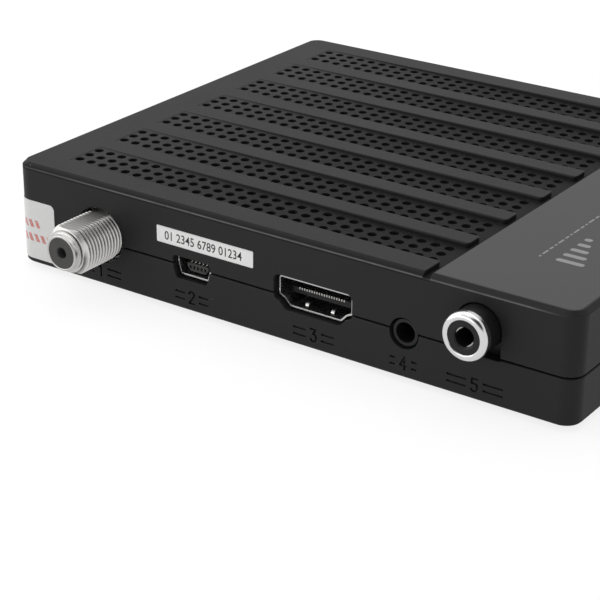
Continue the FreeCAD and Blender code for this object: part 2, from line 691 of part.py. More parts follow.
def bottom_cover():
    """Lower shell with floor, lip, board pillars, sunk port marks and foot seats."""
    shell = case_block(0, 0, SHELL_BASE_Z)
    shell = shell.makeChamfer(BASE_CHAMFER, edges_at(shell, 0))
    shell = shell.makeChamfer(SEAM_EDGE, edges_at(shell, SHELL_BASE_Z))
    lip = case_block(WALL - LIP_T, FLOOR_T, SEAM_Z + LIP_H)
    shell = shell.fuse(lip).cut(case_block(WALL, FLOOR_T, CASE_H))
    pillars = [rod("z", xy, (FLOOR_T - 0.2, BOARD_Z0), BOSS_R + 0.8) for xy in BOSS_XY]
    pillars += [rod("z", xy, (FLOOR_T - 0.2, BOARD_Z0), BOSS_R) for xy in BOARD_SCREW_XY]
    shell = joined([shell] + pillars)
    cutters = []
    for xy in BOSS_XY:
        cutters.append(rod("z", xy, (-1, CASE_SEAT_Z), SCREW_HEAD_R + 0.3))
        cutters.append(rod("z", xy, (0, BOARD_Z0 + 1), SCREW_R + SCREW_PASS))
    for xy in BOARD_SCREW_XY:
        cutters.append(rod("z", xy, (FLOOR_T * 0.6, BOARD_Z0 + 1), SCREW_R + SCREW_CLEAR))
    for xy in FOOT_XY:
        cutters.append(rod("z", xy, (-1, FOOT_SINK), FOOT_R + 0.1))
    return shell.cut(cutters + base_vents() + port_cutters() + display_side_cutters() + mark_cutters())


def base_vents():
    """Two rows of slots in the floor."""
    slots = []
    for side in (-1, 1):
        for i in range(7):
            x = CASE_W / 2 + (i - 3) * 6.0
            ys = about(CASE_D / 2 + side * 12.0, 14.0)
            slots.append(prism(rectangle(about(x, 1.8), ys, 0.89), "z", (-1, FLOOR_T + 1)))
    return slots


def stroke(start, end):
    """One round-ended stroke of a sunk digit, on the port face."""
    depth = (-0.5, MARK_DEPTH)
    along = end - start
    side = V(-along.z, 0, along.x).normalize() * (MARK_STROKE / 2)
    ring = [start + side, end + side, end - side, start - side]
    bar = Part.Face(Part.makePolygon(ring + ring[:1])).extrude(V(0, depth[1] - depth[0], 0))
    ends = [rod("y", (p.x, p.z), depth, MARK_STROKE / 2) for p in (start, end)]
    return [bar] + ends


def mark_cutters():
    """Each port's plain number between two pairs of bars."""
    cutters = []
    scale = MARK_H / 2
    for digit, middle, width in PORT_MARKS:
        points = [V(middle + (u - 0.5) * scale, -0.5, MARK_Z + v * scale) for u, v in DIGIT_PATHS[digit]]
        strokes = []
        for a, b in zip(points, points[1:]):
            strokes += stroke(a, b)
        cutters.append(strokes[0].fuse(strokes[1:]))
        bar_l = (width - 2 * scale) / 2 - MARK_STROKE
        for side in (-1, 1):
            xs = about(middle + side * (width - bar_l) / 2, bar_l)
            for level in (-MARK_BAR_RISE, MARK_BAR_RISE):
                zs = about(MARK_Z + MARK_H / 2 + level, MARK_BAR_H)
                cutters.append(box(xs, (-0.5, MARK_DEPTH), zs))
    return cutters


def top_trim_plate():
    """Smooth plate on the right of the top, level with the slats."""
    plate = prism(trim_corners(-TRIM_CLEAR), "z", (CASE_H - SUNK, CASE_H))
    return plate.makeChamfer(TRIM_EDGE, edges_at(plate, CASE_H))


def number_label():
    """Thin label on the port face."""
    return prism(rectangle((LABEL_X0, LABEL_X1), (LABEL_Z0, LABEL_Z1), 0.2), "y", (-STICKER_T, 0))


def seal_sticker():
    """Tamper seal that wraps round the upright left corner of the port side."""
    z0, z1 = SEAL_Z0, SEAL_Z1
    jacket = prism(rectangle((-STICKER_T, CASE_W), (-STICKER_T, CASE_D), CORNER_R + STICKER_T), "z", (z0, z1))
    jacket = jacket.cut(case_block(0, z0 - 1, z1 + 1))
    front = prism(rectangle((-CORNER_R, SEAL_X1), (z0, z1), SEAL_R), "y", (-1, CORNER_R))
    side = prism(rectangle((-CORNER_R, SEAL_SIDE), (z0, z1), SEAL_R), "x", (-1, CORNER_R))
    return joined([jacket.common(front), jacket.common(side)])


def rubber_feet():
    """Four round feet seated in the underside."""
    profile = [(FOOT_SINK, 0), (FOOT_SINK, FOOT_R), (FOOT_EDGE - FOOT_STAND, FOOT_R),
               (-FOOT_STAND, FOOT_R - FOOT_EDGE), (-FOOT_STAND, 0)]
    return group([turned(profile, V(x, y, 0), V(0, 0, 1)) for x, y in FOOT_XY])


def screw(x, y, seat_z, length, up):
    """Pan-head screw with a cross recess; up is the way its shank points."""
    profile = [(0, 0), (0, SCREW_HEAD_R), (-SCREW_HEAD_T * 0.6, SCREW_HEAD_R),
               (-SCREW_HEAD_T, SCREW_HEAD_R * 0.7), (-SCREW_HEAD_T, 0)]
    head = turned(profile, V(x, y, seat_z), V(0, 0, up))
    shank_profile = [(0, 0), (0, SCREW_R), (length - 0.8, SCREW_R), (length, SCREW_R * 0.4), (length, 0)]
    shank = turned(shank_profile, V(x, y, seat_z), V(0, 0, up))
    tip = seat_z - up * SCREW_HEAD_T
    zs = sorted((tip - up * 0.1, tip + up * DRIVE_DEPTH))
    cross = [box(about(x, DRIVE_L), about(y, DRIVE_W), zs), box(about(x, DRIVE_W), about(y, DRIVE_L), zs)]
    return joined([head, shank]).cut(cross)


def case_screws():
    """Four screws from below, through the bottom shell and board into the top shell."""
    return group([screw(x, y, CASE_SEAT_Z, CASE_SCREW_L, 1) for x, y in BOSS_XY])


def front_window():
    """Smoked window set level into the display face."""
    xs = (WINDOW_X0 + WINDOW_CLEAR, WINDOW_X1 - WINDOW_CLEAR)
    zs = about(WINDOW_Z, WINDOW_H - 2 * WINDOW_CLEAR)
    return prism(rectangle(xs, zs, 0.75), "y", (CASE_D - WINDOW_T, CASE_D))


# ---- Board -------------------------------------------------------------------------
def main_board():
    """Circuit board with a notch for the aerial connector and its drilled holes."""
    edge = WALL + BOARD_GAP
    board = prism(rectangle((edge, CASE_W - edge), (edge, CASE_D - edge), 1.0), "z", (BOARD_Z0, BOARD_TOP))
    through = (BOARD_Z0 - 1, BOARD_TOP + 1)
    cutters = [box(about(AERIAL_X, AERIAL_BASE_W + 2 * NOTCH_AIR), (0, AERIAL_BACK + NOTCH_AIR), through)]
    for xy in BOSS_XY + BOARD_SCREW_XY:
        cutters.append(rod("z", xy, through, SCREW_R + SCREW_PASS))
    for xy in lead_places() + leg_places() + [(AERIAL_X, AERIAL_BACK + AERIAL_TAIL)]:
        cutters.append(rod("z", xy, through, LEAD_HOLE_R))
    return board.cut(cutters)


def board_screws():
    """Screws that hold the board to the bottom shell."""
    return group([screw(x, y, BOARD_TOP, BOARD_SCREW_L, -1) for x, y in BOARD_SCREW_XY])


def leg_places():
    """Board places of the metal shells' legs."""
    places = []
    for x, reach, y in ((EXT_X, EXT_W / 2 - 0.9, EXT_RECESS + EXT_L - 1.2), (VIDEO_X, VIDEO_W / 2 - 2.9, 5.0),
                        (VIDEO_X, VIDEO_W / 2 - 2.9, 10.0)):
        places += [(x - reach, y), (x + reach, y)]
    for y in (DATA_Y - DATA_W / 2 + 0.6, DATA_Y + DATA_W / 2 - 0.6):
        places += [(4.4, y), (11.0, y)]
    return places


def legs(spots, top):
    """Square legs from a level down through the board."""
    return [box(about(x, LEAD_W), about(y, LEAD_W), (BOARD_Z0 - PIN_OUT, top)) for x, y in spots]


# ---- Aerial connector --------------------------------------------------------------
def aerial_barrel():
    """Threaded barrel with two flats and a stepped tip; its plain end sits in the base."""
    base_y = WALL + AERIAL_GAP
    tip = -AERIAL_OUT
    neck = tip + AERIAL_NECK_L
    collar = neck + AERIAL_COLLAR_L
    face = collar + AERIAL_GROOVE_L
    root = THREAD_R - THREAD_DEPTH
    profile = [(tip, AERIAL_CORE_R), (tip, AERIAL_NECK_R, 0.2), (neck, AERIAL_NECK_R),
               (neck, AERIAL_COLLAR_R, 0.1), (collar, AERIAL_COLLAR_R), (collar, AERIAL_GROOVE_R),
               (face, AERIAL_GROOVE_R), (face, AERIAL_FACE_R)]
    half_floor = THREAD_PITCH * 0.05
    half_crest = THREAD_PITCH / 16
    y = tip + THREAD_START
    while y < base_y - THREAD_PITCH:
        crest = y + THREAD_PITCH / 2
        profile += [(y - half_floor, root), (y + half_floor, root), (crest - half_crest, THREAD_R),
                    (crest + half_crest, THREAD_R)]
        y += THREAD_PITCH
    end = base_y + AERIAL_SPIGOT
    profile += [(y - half_floor, root), (end, root), (end, AERIAL_CORE_R)]
    barrel = turned(profile, V(AERIAL_X, 0, AERIAL_Z), V(0, 1, 0))
    for side in (-1, 1):
        zs = sorted((side * AERIAL_FLAT, side * (THREAD_R + 1)))
        flat = box(about(AERIAL_X, 3 * THREAD_R), (tip - 1, base_y), (AERIAL_Z + zs[0], AERIAL_Z + zs[1]))
        barrel = barrel.cut(flat)
    return barrel


def aerial_base():
    """Square base behind the wall, bored for the barrel and the core."""
    front = WALL + AERIAL_GAP
    zs = (AERIAL_Z - AERIAL_BASE_W / 2 + 0.4, AERIAL_Z + AERIAL_BASE_W / 2)
    at = (AERIAL_X, AERIAL_Z)
    seat = rod("y", at, (front - 1, front + AERIAL_SPIGOT + AERIAL_FIT), THREAD_R - THREAD_DEPTH + AERIAL_FIT)
    core_way = rod("y", at, (front - 1, AERIAL_BACK + 1), AERIAL_CORE_R)
    return box(about(AERIAL_X, AERIAL_BASE_W), (front, AERIAL_BACK), zs).cut([seat, core_way])


def aerial_insulator():
    """Grey core of the connector with the hole for the plug's centre wire."""
    end = AERIAL_BACK
    front = 0.1 - AERIAL_OUT
    radius = AERIAL_CORE_R - AERIAL_FIT
    way_r = AERIAL_CONTACT_R + 0.02
    profile = [(front, AERIAL_PIN_HOLE_R + 0.15), (front, radius), (end, radius), (end, way_r),
               (front + 1.6, way_r), (front + 1.6, AERIAL_PIN_HOLE_R), (front + 0.15, AERIAL_PIN_HOLE_R)]
    return turned(profile, V(AERIAL_X, 0, AERIAL_Z), V(0, 1, 0))


def aerial_contact():
    """Centre contact that runs back through the core and down to the board."""
    tail_y = AERIAL_BACK + AERIAL_TAIL
    wire = rod("y", (AERIAL_X, AERIAL_Z), (2.4 - AERIAL_OUT, tail_y + AERIAL_CONTACT_R), AERIAL_CONTACT_R)
    tail = rod("z", (AERIAL_X, tail_y), (BOARD_Z0 - PIN_OUT, AERIAL_Z), 0.4)
    socket = rod("y", (AERIAL_X, AERIAL_Z), (2.3 - AERIAL_OUT, 3.4 - AERIAL_OUT), 0.25)
    return joined([wire, tail]).cut(socket)


# ---- Extension socket --------------------------------------------------------------
def extension_socket_shell():
    """Folded metal shell with two board legs."""
    ends = (EXT_RECESS, EXT_RECESS + EXT_L)
    hollow = grown_prism(ext_corners(), "y", (ends[0] - 1, ends[1] + 1), -EXT_METAL)
    shell = prism(ext_corners(), "y", ends).cut(hollow)
    spots = leg_places()[:2]
    return joined([shell] + legs(spots, EXT_Z - EXT_H / 2 + EXT_METAL / 2))


def ext_tongue_zs():
    """Height span of the extension socket's tongue."""
    return about(EXT_Z - EXT_TONGUE_DROP, EXT_TONGUE_T)


def ext_pole_xs():
    """Middles of the extension socket's contacts."""
    return [EXT_X + (i - (EXT_POLES - 1) / 2) * EXT_PITCH for i in range(EXT_POLES)]


def extension_socket_core():
    """Grey block at the back of the shell, with a tongue that narrows downwards.

    The tongue's front has a slot for each pole.
    """
    ends = (EXT_RECESS + EXT_L * 0.6, EXT_RECESS + EXT_L)
    block = grown_prism(ext_corners(), "y", ends, -EXT_METAL - 0.02)
    front = EXT_RECESS + EXT_TONGUE_SINK
    z0, z1 = ext_tongue_zs()
    half = EXT_TONGUE_W / 2
    right = [(EXT_X + half - 0.7, z0, 0.3), (EXT_X + half, z0 + EXT_TONGUE_T * 0.55, 0.3),
             (EXT_X + half, z1, 0.15)]
    tongue = prism(mirrored(right, EXT_X) + right, "y", (front, ends[0] + 0.5))
    slot_zs = about((z0 + z1) / 2, EXT_SLOT_H)
    slots = [box(about(x, EXT_SLOT_W), (front - 1, front + 0.7), slot_zs) for x in ext_pole_xs()]
    return joined([block, tongue]).cut(slots)


def extension_socket_contacts():
    """Flat contacts on the tongue, whose round ends rise a little behind its front."""
    z1 = ext_tongue_zs()[1]
    front = EXT_RECESS + EXT_TONGUE_SINK + 0.3
    strips = []
    for x in ext_pole_xs():
        strip = box(about(x, EXT_CONTACT_W), (front, EXT_RECESS + EXT_L * 0.6), (z1, z1 + EXT_CONTACT_T))
        bead = rod("x", (front + 0.35, z1 + EXT_CONTACT_T), about(x, EXT_CONTACT_W), EXT_CONTACT_T)
        strips.append(joined([strip, bead]))
    return group(strips)


# ---- Video socket ------------------------------------------------------------------
def video_socket_shell():
    """Folded metal shell with spring dimples in its floor and four board legs."""
    ends = (VIDEO_RECESS, VIDEO_RECESS + VIDEO_L)
    hollow = grown_prism(video_corners(), "y", (ends[0] - 1, ends[1] + 1), -VIDEO_METAL)
    shell = prism(video_corners(), "y", ends).cut(hollow)
    floor_z = VIDEO_Z - VIDEO_H / 2 + VIDEO_METAL
    for side in (-1, 1):
        at = (ends[0] + VIDEO_DIMPLE_SINK, floor_z - VIDEO_DIMPLE_R / 4)
        dimple = rod("x", at, about(VIDEO_X + side * VIDEO_DIMPLE_X, VIDEO_DIMPLE_W), VIDEO_DIMPLE_R)
        below = box(about(VIDEO_X, VIDEO_W), (0, 6), (floor_z - 2, floor_z - VIDEO_METAL / 2))
        shell = shell.fuse(dimple.cut(below))
    return joined([shell] + legs(leg_places()[2:6], VIDEO_Z - VIDEO_H / 2 + VIDEO_METAL / 2))


def video_tongue_zs():
    """Height span of the contact tongue."""
    return about(VIDEO_Z - VIDEO_TONGUE_DROP, VIDEO_TONGUE_T)


def video_socket_core():
    """Black block at the back of the shell with the contact tongue."""
    ends = (VIDEO_RECESS + VIDEO_L * 0.62, VIDEO_RECESS + VIDEO_L)
    block = grown_prism(video_corners(), "y", ends, -VIDEO_METAL - 0.02)
    tongue_ys = (VIDEO_RECESS + VIDEO_TONGUE_SINK, ends[0] + 0.5)
    tongue = box(about(VIDEO_X, VIDEO_TONGUE_W), tongue_ys, video_tongue_zs())
    return joined([block, tongue])


def video_socket_contacts():
    """Fine contacts along the tongue's top, bent down over its front."""
    strips = []
    z1 = video_tongue_zs()[1]
    top = z1 + VIDEO_CONTACT_T
    back = VIDEO_RECESS + VIDEO_TONGUE_SINK
    front = back - VIDEO_CONTACT_T
    for i in range(VIDEO_POLES):
        xs = about(VIDEO_X + (i - (VIDEO_POLES - 1) / 2) * VIDEO_PITCH, VIDEO_CONTACT_W)
        tip = box(xs, (front, back), (z1 - VIDEO_TIP_H, top))
        rail = box(xs, (front, VIDEO_RECESS + VIDEO_L * 0.62), (z1, top))
        strips.append(joined([tip, rail]))
    return group(strips)


# ---- Sound and picture jack --------------------------------------------------------
def av_jack_body():
    """Black jack block with a round nose and a blind bore."""
    y0 = WALL + 0.2
    block = box(about(JACK_X, JACK_W), (y0, JACK_RECESS + JACK_DEPTH + 0.8), (BOARD_TOP, BOARD_TOP + JACK_H))
    nose = rod("y", (JACK_X, JACK_Z), (JACK_RECESS, y0 + 0.1), JACK_NOSE_R)
    bore = rod("y", (JACK_X, JACK_Z), (JACK_RECESS - 1, JACK_RECESS + JACK_DEPTH), JACK_BORE_R)
    body = joined([block, nose]).cut(bore)
    zs = (JACK_Z, BOARD_TOP + JACK_H + 1)
    return body.cut([box(about(x, JACK_SLOT_W), (y, y + JACK_LEAF_L), zs) for x, y in jack_slots()])


def jack_slots():
    """Where the jack's two leaf slots are: middle in x and first y."""
    return [(JACK_X - 1.5, 5.0), (JACK_X + 1.5, 11.0)]


def av_jack_springs():
    """Contact leaves that lie in the jack's side slots, clear of the bore."""
    zs = (JACK_Z + JACK_BORE_R, JACK_Z + JACK_BORE_R + 0.4)
    return group([box(about(x, JACK_SLOT_W - 0.1), (y, y + JACK_LEAF_L), zs) for x, y in jack_slots()])


# ---- Coaxial sound socket ----------------------------------------------------------
def coax_body():
    """Black socket block whose barrel holds the core and stands behind the ring."""
    y0 = WALL + 0.2
    at = (COAX_X, COAX_Z)
    top = COAX_Z + COAX_BARREL_R + COAX_BLOCK_RIM
    block = box(about(COAX_X, COAX_BASE_W), (y0, y0 + COAX_BASE_L), (BOARD_TOP, top))
    barrel = rod("y", at, (COAX_BARREL_Y, y0 + 0.1), COAX_BARREL_R - 0.05)
    seat = rod("y", at, (COAX_BARREL_Y - 1, COAX_CORE_BACK), COAX_RING_R - COAX_RING_T)
    hole = rod("y", at, (COAX_BARREL_Y - 1, COAX_HOLE_BACK), COAX_HOLE_R + 0.05)
    return joined([block, barrel]).cut([seat, hole])


def coax_ring():
    """Polished outer contact ring with a rolled front edge."""
    inner = COAX_RING_R - COAX_RING_T
    front = -COAX_OUT
    profile = [(front, inner, COAX_ROLL_IN), (front, COAX_RING_R, COAX_ROLL_OUT),
               (COAX_BARREL_Y, COAX_RING_R, 0.1), (COAX_BARREL_Y, inner)]
    return turned(profile, V(COAX_X, 0, COAX_Z), V(0, 1, 0))


def coax_insulator():
    """Dark grey core with a flared centre hole, inside the ring and the barrel."""
    radius = COAX_RING_R - COAX_RING_T - 0.01
    profile = [(COAX_CORE_Y, COAX_HOLE_R + COAX_FLARE), (COAX_CORE_Y, radius), (COAX_CORE_BACK, radius),
               (COAX_CORE_BACK, COAX_HOLE_R), (COAX_CORE_Y + COAX_FLARE * 0.7, COAX_HOLE_R)]
    return turned(profile, V(COAX_X, 0, COAX_Z), V(0, 1, 0))


def coax_contact():
    """Split centre contact: two leaves in the hole, joined at the back."""
    front = COAX_CORE_Y + COAX_LEAF_SINK
    outer_r = COAX_HOLE_R - 0.02
    outer = rod("y", (COAX_X, COAX_Z), (front, COAX_HOLE_BACK), outer_r)
    ys = (front - 1, COAX_HOLE_BACK - 1.0)
    inner = rod("y", (COAX_X, COAX_Z), ys, outer_r - COAX_LEAF_T)
    slit = box(about(COAX_X, COAX_LEAF_SLIT), ys, about(COAX_Z, 4 * outer_r))
    slit.rotate(V(COAX_X, 0, COAX_Z), V(0, 1, 0), COAX_LEAF_TURN)
    return outer.cut([inner, slit])


# ---- Power inlet -------------------------------------------------------------------
def power_inlet_body():
    """Black inlet block with a round nose through the right wall."""
    inner = CASE_W - WALL - 0.2
    mouth = CASE_W - POWER_RECESS
    block = box((inner - POWER_L, inner), about(POWER_Y, POWER_W), (BOARD_TOP, POWER_Z + POWER_TOP))
    nose = rod("x", (POWER_Y, POWER_Z), (inner - 0.1, mouth), POWER_NOSE_R)
    bore = rod("x", (POWER_Y, POWER_Z), (mouth - POWER_DEPTH, mouth + 1), POWER_BORE_R)
    pin_seat = rod("x", (POWER_Y, POWER_Z), (mouth - POWER_DEPTH - 1.5, mouth), POWER_PIN_R)
    return joined([block, nose]).cut([bore, pin_seat])


def power_inlet_pin():
    """Centre pin of the inlet."""
    mouth = CASE_W - POWER_RECESS
    length = POWER_DEPTH + 1.5 - 1.0
    radius = POWER_PIN_R - 0.01
    profile = [(0, 0), (0, radius), (length - 0.5, radius), (length, radius / 2), (length, 0)]
    return turned(profile, V(mouth - POWER_DEPTH - 1.5, POWER_Y, POWER_Z), V(1, 0, 0))


def power_inlet_spring():
    """Side contact: a leaf bent along the bore's floor."""
    mouth = CASE_W - POWER_RECESS
    z0 = POWER_Z - POWER_BORE_R
    return box((mouth - POWER_DEPTH, mouth - 2.5), about(POWER_Y, 1.6), (z0 + 0.11, z0 + 0.4))


# ---- Data socket -------------------------------------------------------------------
def data_socket_shell():
    """Flat metal shell, open to the left, with four board legs."""
    ends = (DATA_RECESS, DATA_RECESS + DATA_L)
    hollow = prism(data_corners(-DATA_METAL), "x", (ends[0] - 1, ends[1] - DATA_METAL))
    shell = prism(data_corners(0), "x", ends).cut(hollow)
    return joined([shell] + legs(leg_places()[6:], BOARD_TOP + DATA_RISE + DATA_METAL / 2))


def data_tongue_zs():
    """Height span of the tongue, in the upper half of the shell."""
    return about(BOARD_TOP + DATA_RISE + DATA_H * 0.63, DATA_TONGUE_T)


def data_socket_core():
    """Plastic block at the back of the shell with its tongue."""
    ends = (DATA_RECESS + DATA_L * 0.7, DATA_RECESS + DATA_L - DATA_METAL)
    block = prism(data_corners(-DATA_METAL - 0.02), "x", ends)
    tongue = box((DATA_RECESS + 0.9, ends[0] + 0.5), about(DATA_Y, DATA_TONGUE_W), data_tongue_zs())
    return joined([block, tongue])


def data_socket_contacts():
    """Four flat contacts under the tongue."""
    z1 = data_tongue_zs()[0]
    strips = []
    for i in range(DATA_POLES):
        y = DATA_Y + (i - (DATA_POLES - 1) / 2) * 2.25
        strips.append(box((DATA_RECESS + 2.0, DATA_RECESS + DATA_L * 0.7), about(y, 1.0), (z1 - 0.2, z1)))
    return group(strips)


# ---- Display side ------------------------------------------------------------------
def display_body():
    """Black four-digit display block behind the window."""
    zs = about(WINDOW_Z, DISPLAY_H)
    return prism(rectangle(about(DISPLAY_X, DISPLAY_W), zs, 0.3), "y", (DISPLAY_Y1 - DISPLAY_T, DISPLAY_Y1))


def display_segments():
    """Seven bars to a digit, and the two dots between the middle digits."""
    face = (DISPLAY_Y1, DISPLAY_Y1 + SEGMENT_RAISE)
    gap = SEGMENT_T / 2 + 0.08
    half_w = DIGIT_W / 2 - SEGMENT_T / 2
    half_h = DIGIT_H / 2 - SEGMENT_T / 2
    pieces = []
    for i in range(4):
        x = DISPLAY_X + (i - 1.5) * DIGIT_PITCH
        for level in (-1, 0, 1):
            z = WINDOW_Z + level * half_h
            pieces.append(box(about(x, 2 * (half_w - gap)), face, about(z, SEGMENT_T)))
        for side in (-1, 1):
            for level in (-0.5, 0.5):
                z = WINDOW_Z + level * half_h
                pieces.append(box(about(x + side * half_w, SEGMENT_T), face, about(z, half_h - 2 * gap)))
    for level in (-1, 1):
        pieces.append(rod("y", (DISPLAY_X, WINDOW_Z + level * 1.2), face, 0.4))
    return group(pieces)


def infrared_receiver():
    """Small dark block with a round lens that looks out through the window."""
    zs = (EYE_Z0, EYE_Z0 + EYE_H)
    block = box(about(EYE_X, EYE_W), (EYE_Y1 - EYE_T, EYE_Y1), zs)
    lens_z = EYE_Z0 + EYE_H * 0.6
    lens = Part.makeSphere(EYE_DOME_R, V(EYE_X, EYE_Y1 - EYE_DOME_R / 2, lens_z))
    behind = box(about(EYE_X, 9), (EYE_Y1 - 9, EYE_Y1 - 0.1), (EYE_Z0 - 3, EYE_Z0 + EYE_H + 3))
    return joined([block, lens.cut(behind)])


def standby_lamp():
    """Round lamp whose dome shows in the display face."""
    flange = LAMP_BACK + 0.8
    tip = CASE_D + LAMP_OUT
    profile = [(LAMP_BACK, 0), (LAMP_BACK, LAMP_R + 0.4), (flange, LAMP_R + 0.4), (flange, LAMP_R),
               (tip, LAMP_R, LAMP_R - 0.005), (tip, 0)]
    return turned(profile, V(LAMP_X, 0, WINDOW_Z), V(0, 1, 0))


def lead_places():
    """Board places of the round-hole leads of display, eye and lamp."""
    places = [(DISPLAY_X + (i - 2.5) * 4.0, DISPLAY_Y1 - DISPLAY_T / 2) for i in range(6)]
    places += [(EYE_X + (i - 1) * 1.9, EYE_Y1 - EYE_T / 2) for i in range(3)]
    places += [(LAMP_X + side * 0.9, LAMP_BACK - 0.6) for side in (-1, 1)]
    return places


def component_leads():
    """Bare leads that carry the display, the infrared receiver and the lamp."""
    places = lead_places()
    pieces = legs(places[:6], WINDOW_Z - DISPLAY_H / 2)
    pieces += legs(places[6:9], EYE_Z0)
    for x, y in places[9:]:
        post = box(about(x, LEAD_W), about(y, LEAD_W), (BOARD_Z0 - PIN_OUT, WINDOW_Z + LEAD_W / 2))
        bend = box(about(x, LEAD_W), (y - LEAD_W / 2, LAMP_BACK), about(WINDOW_Z, LEAD_W))
        pieces.append(joined([post, bend]))
    return group(pieces)


# ---- Keys --------------------------------------------------------------------------
def key_corners(x, grow):
    """Rounded outline of a key cap."""
    radius = KEY_H / 2 + grow - 0.01
    return rectangle(about(x, KEY_W + 2 * grow), about(KEY_Z, KEY_H + 2 * grow), radius)


def key_cap(x):
    """Cap that stands out of the face, with a flange inside and a stem to the switch."""
    cap = prism(key_corners(x, 0), "y", (KEY_FLANGE_Y - 0.1, KEY_FRONT))
    rim = [e for e in cap.Edges if e.BoundBox.YMin > KEY_FRONT - 0.001]
    cap = cap.makeFillet(0.3, rim)
    flange = prism(key_corners(x, KEY_FLANGE), "y", (KEY_FLANGE_Y - KEY_FLANGE_T, KEY_FLANGE_Y))
    stem_y = KEY_FLANGE_Y - KEY_FLANGE_T
    stem = rod("y", (x, KEY_Z), (stem_y - KEY_STEM_L, stem_y + 0.1), KEY_STEM_R)
    return joined([cap, flange, stem])


def key_plunger(x):
    """Round plunger of the switch, touching the key's stem."""
    front = SWITCH_FACE_Y + PLUNGER_OUT
    return rod("y", (x, KEY_Z), (front - PLUNGER_L, front), PLUNGER_R)


def switch_bodies():
    """Three upright switches soldered on the board behind the keys."""
    bodies = []
    ys = (SWITCH_FACE_Y - SWITCH_PLATE_T - SWITCH_T, SWITCH_FACE_Y - SWITCH_PLATE_T)
    for x in KEY_XS:
        block = box(about(x, SWITCH_W), ys, (BOARD_TOP, KEY_Z + SWITCH_W / 2))
        well_y = SWITCH_FACE_Y + PLUNGER_OUT - PLUNGER_L - PLUNGER_ROOM
        well = rod("y", (x, KEY_Z), (well_y, ys[1] + 1), PLUNGER_R + PLUNGER_AIR)
        bodies.append(block.cut(well))
    return group(bodies)


def switch_plates():
    """Metal front plates that hold the plungers in."""
    plates = []
    for x in KEY_XS:
        ys = (SWITCH_FACE_Y - SWITCH_PLATE_T, SWITCH_FACE_Y)
        plate = box(about(x, SWITCH_W), ys, about(KEY_Z, SWITCH_W))
        plates.append(plate.cut(rod("y", (x, KEY_Z), (ys[0] - 1, ys[1] + 1), PLUNGER_R + PLUNGER_AIR)))
    return group(plates)


# ---- Circuit -----------------------------------------------------------------------
def can_spans(grow):
    """Plan of the tuner screen."""
    return (CAN_X0 - grow, CAN_X0 + CAN_W + grow), (CAN_Y0 - grow, CAN_Y0 + CAN_D + grow)


def tuner_frame():
    """Metal wall round the tuner."""
    xs, ys = can_spans(0)
    inner_xs, inner_ys = can_spans(-CAN_T)
    wall = box(xs, ys, (BOARD_TOP, BOARD_TOP + CAN_H))
    return wall.cut(box(inner_xs, inner_ys, (BOARD_TOP - 1, BOARD_TOP + CAN_H + 1)))


def tuner_lid():
    """Pressed lid that clips over the wall, with a field of small holes."""
    top = BOARD_TOP + CAN_H
    outer_xs, outer_ys = can_spans(LID_AIR + CAN_T)
    inner_xs, inner_ys = can_spans(LID_AIR)
    skirt_z = top - LID_SKIRT
    lid = box(outer_xs, outer_ys, (skirt_z, top + CAN_T)).cut(box(inner_xs, inner_ys, (skirt_z - 1, top)))
    holes = []
    for i in range(-2, 3):
        for j in range(-2, 3):
            x = CAN_X0 + CAN_W / 2 + i * LID_HOLE_PITCH
            y = CAN_Y0 + CAN_D / 2 + j * LID_HOLE_PITCH
            holes.append(rod("z", (x, y), (top - 1, top + 1), LID_HOLE_R))
    return lid.cut(holes)


def chip(x, y, width, depth, height):
    """One flat chip on the board."""
    return box(about(x, width), about(y, depth), (BOARD_TOP, BOARD_TOP + height))


def tuner_chip():
    """Receiver chip under the tuner lid."""
    return chip(CAN_X0 + CAN_W / 2, CAN_Y0 + CAN_D / 2, TUNER_CHIP_W, TUNER_CHIP_W, TUNER_CHIP_T)


def main_processor():
    """Main chip."""
    return chip(CHIP_X, CHIP_Y, CHIP_W, CHIP_W, CHIP_T)


def thermal_pad():
    """Soft pad between the main chip and its heat sink."""
    z0 = BOARD_TOP + CHIP_T
    return box(about(CHIP_X, CHIP_W), about(CHIP_Y, CHIP_W), (z0, z0 + PAD_T))


def heat_sink():
    """Finned heat sink on the main chip."""
    z0 = BOARD_TOP + CHIP_T + PAD_T
    block = box(about(CHIP_X, SINK_W), about(CHIP_Y, SINK_W), (z0, z0 + SINK_H))
    pitch = (SINK_W - SINK_FIN_T) / (SINK_FINS - 1)
    gaps = []
    for i in range(SINK_FINS - 1):
        x0 = CHIP_X - SINK_W / 2 + SINK_FIN_T + i * pitch
        zs = (z0 + SINK_BASE_T, z0 + SINK_H + 1)
        gaps.append(box((x0, x0 + pitch - SINK_FIN_T), about(CHIP_Y, SINK_W + 2), zs))
    return block.cut(gaps)


def memory_chips():
    """Working memory and program memory."""
    working = chip(CHIP_X, CHIP_Y + RAM_Y, RAM_W, RAM_D, RAM_T)
    program = chip(CHIP_X + ROM_X, CHIP_Y + ROM_Y, ROM_W, ROM_D, ROM_T)
    return group([working, program])


def supply_ys():
    """Middles of the three coils and their regulators."""
    return [SUPPLY_Y + i * SUPPLY_PITCH for i in range(3)]


def power_chips():
    """Three supply regulators."""
    x = SUPPLY_X + REGULATOR_X
    return group([chip(x, y, REGULATOR_W, REGULATOR_D, REGULATOR_T) for y in supply_ys()])


def power_coils():
    """Three square power coils."""
    return group([chip(SUPPLY_X, y, COIL_W, COIL_W, COIL_H) for y in supply_ys()])


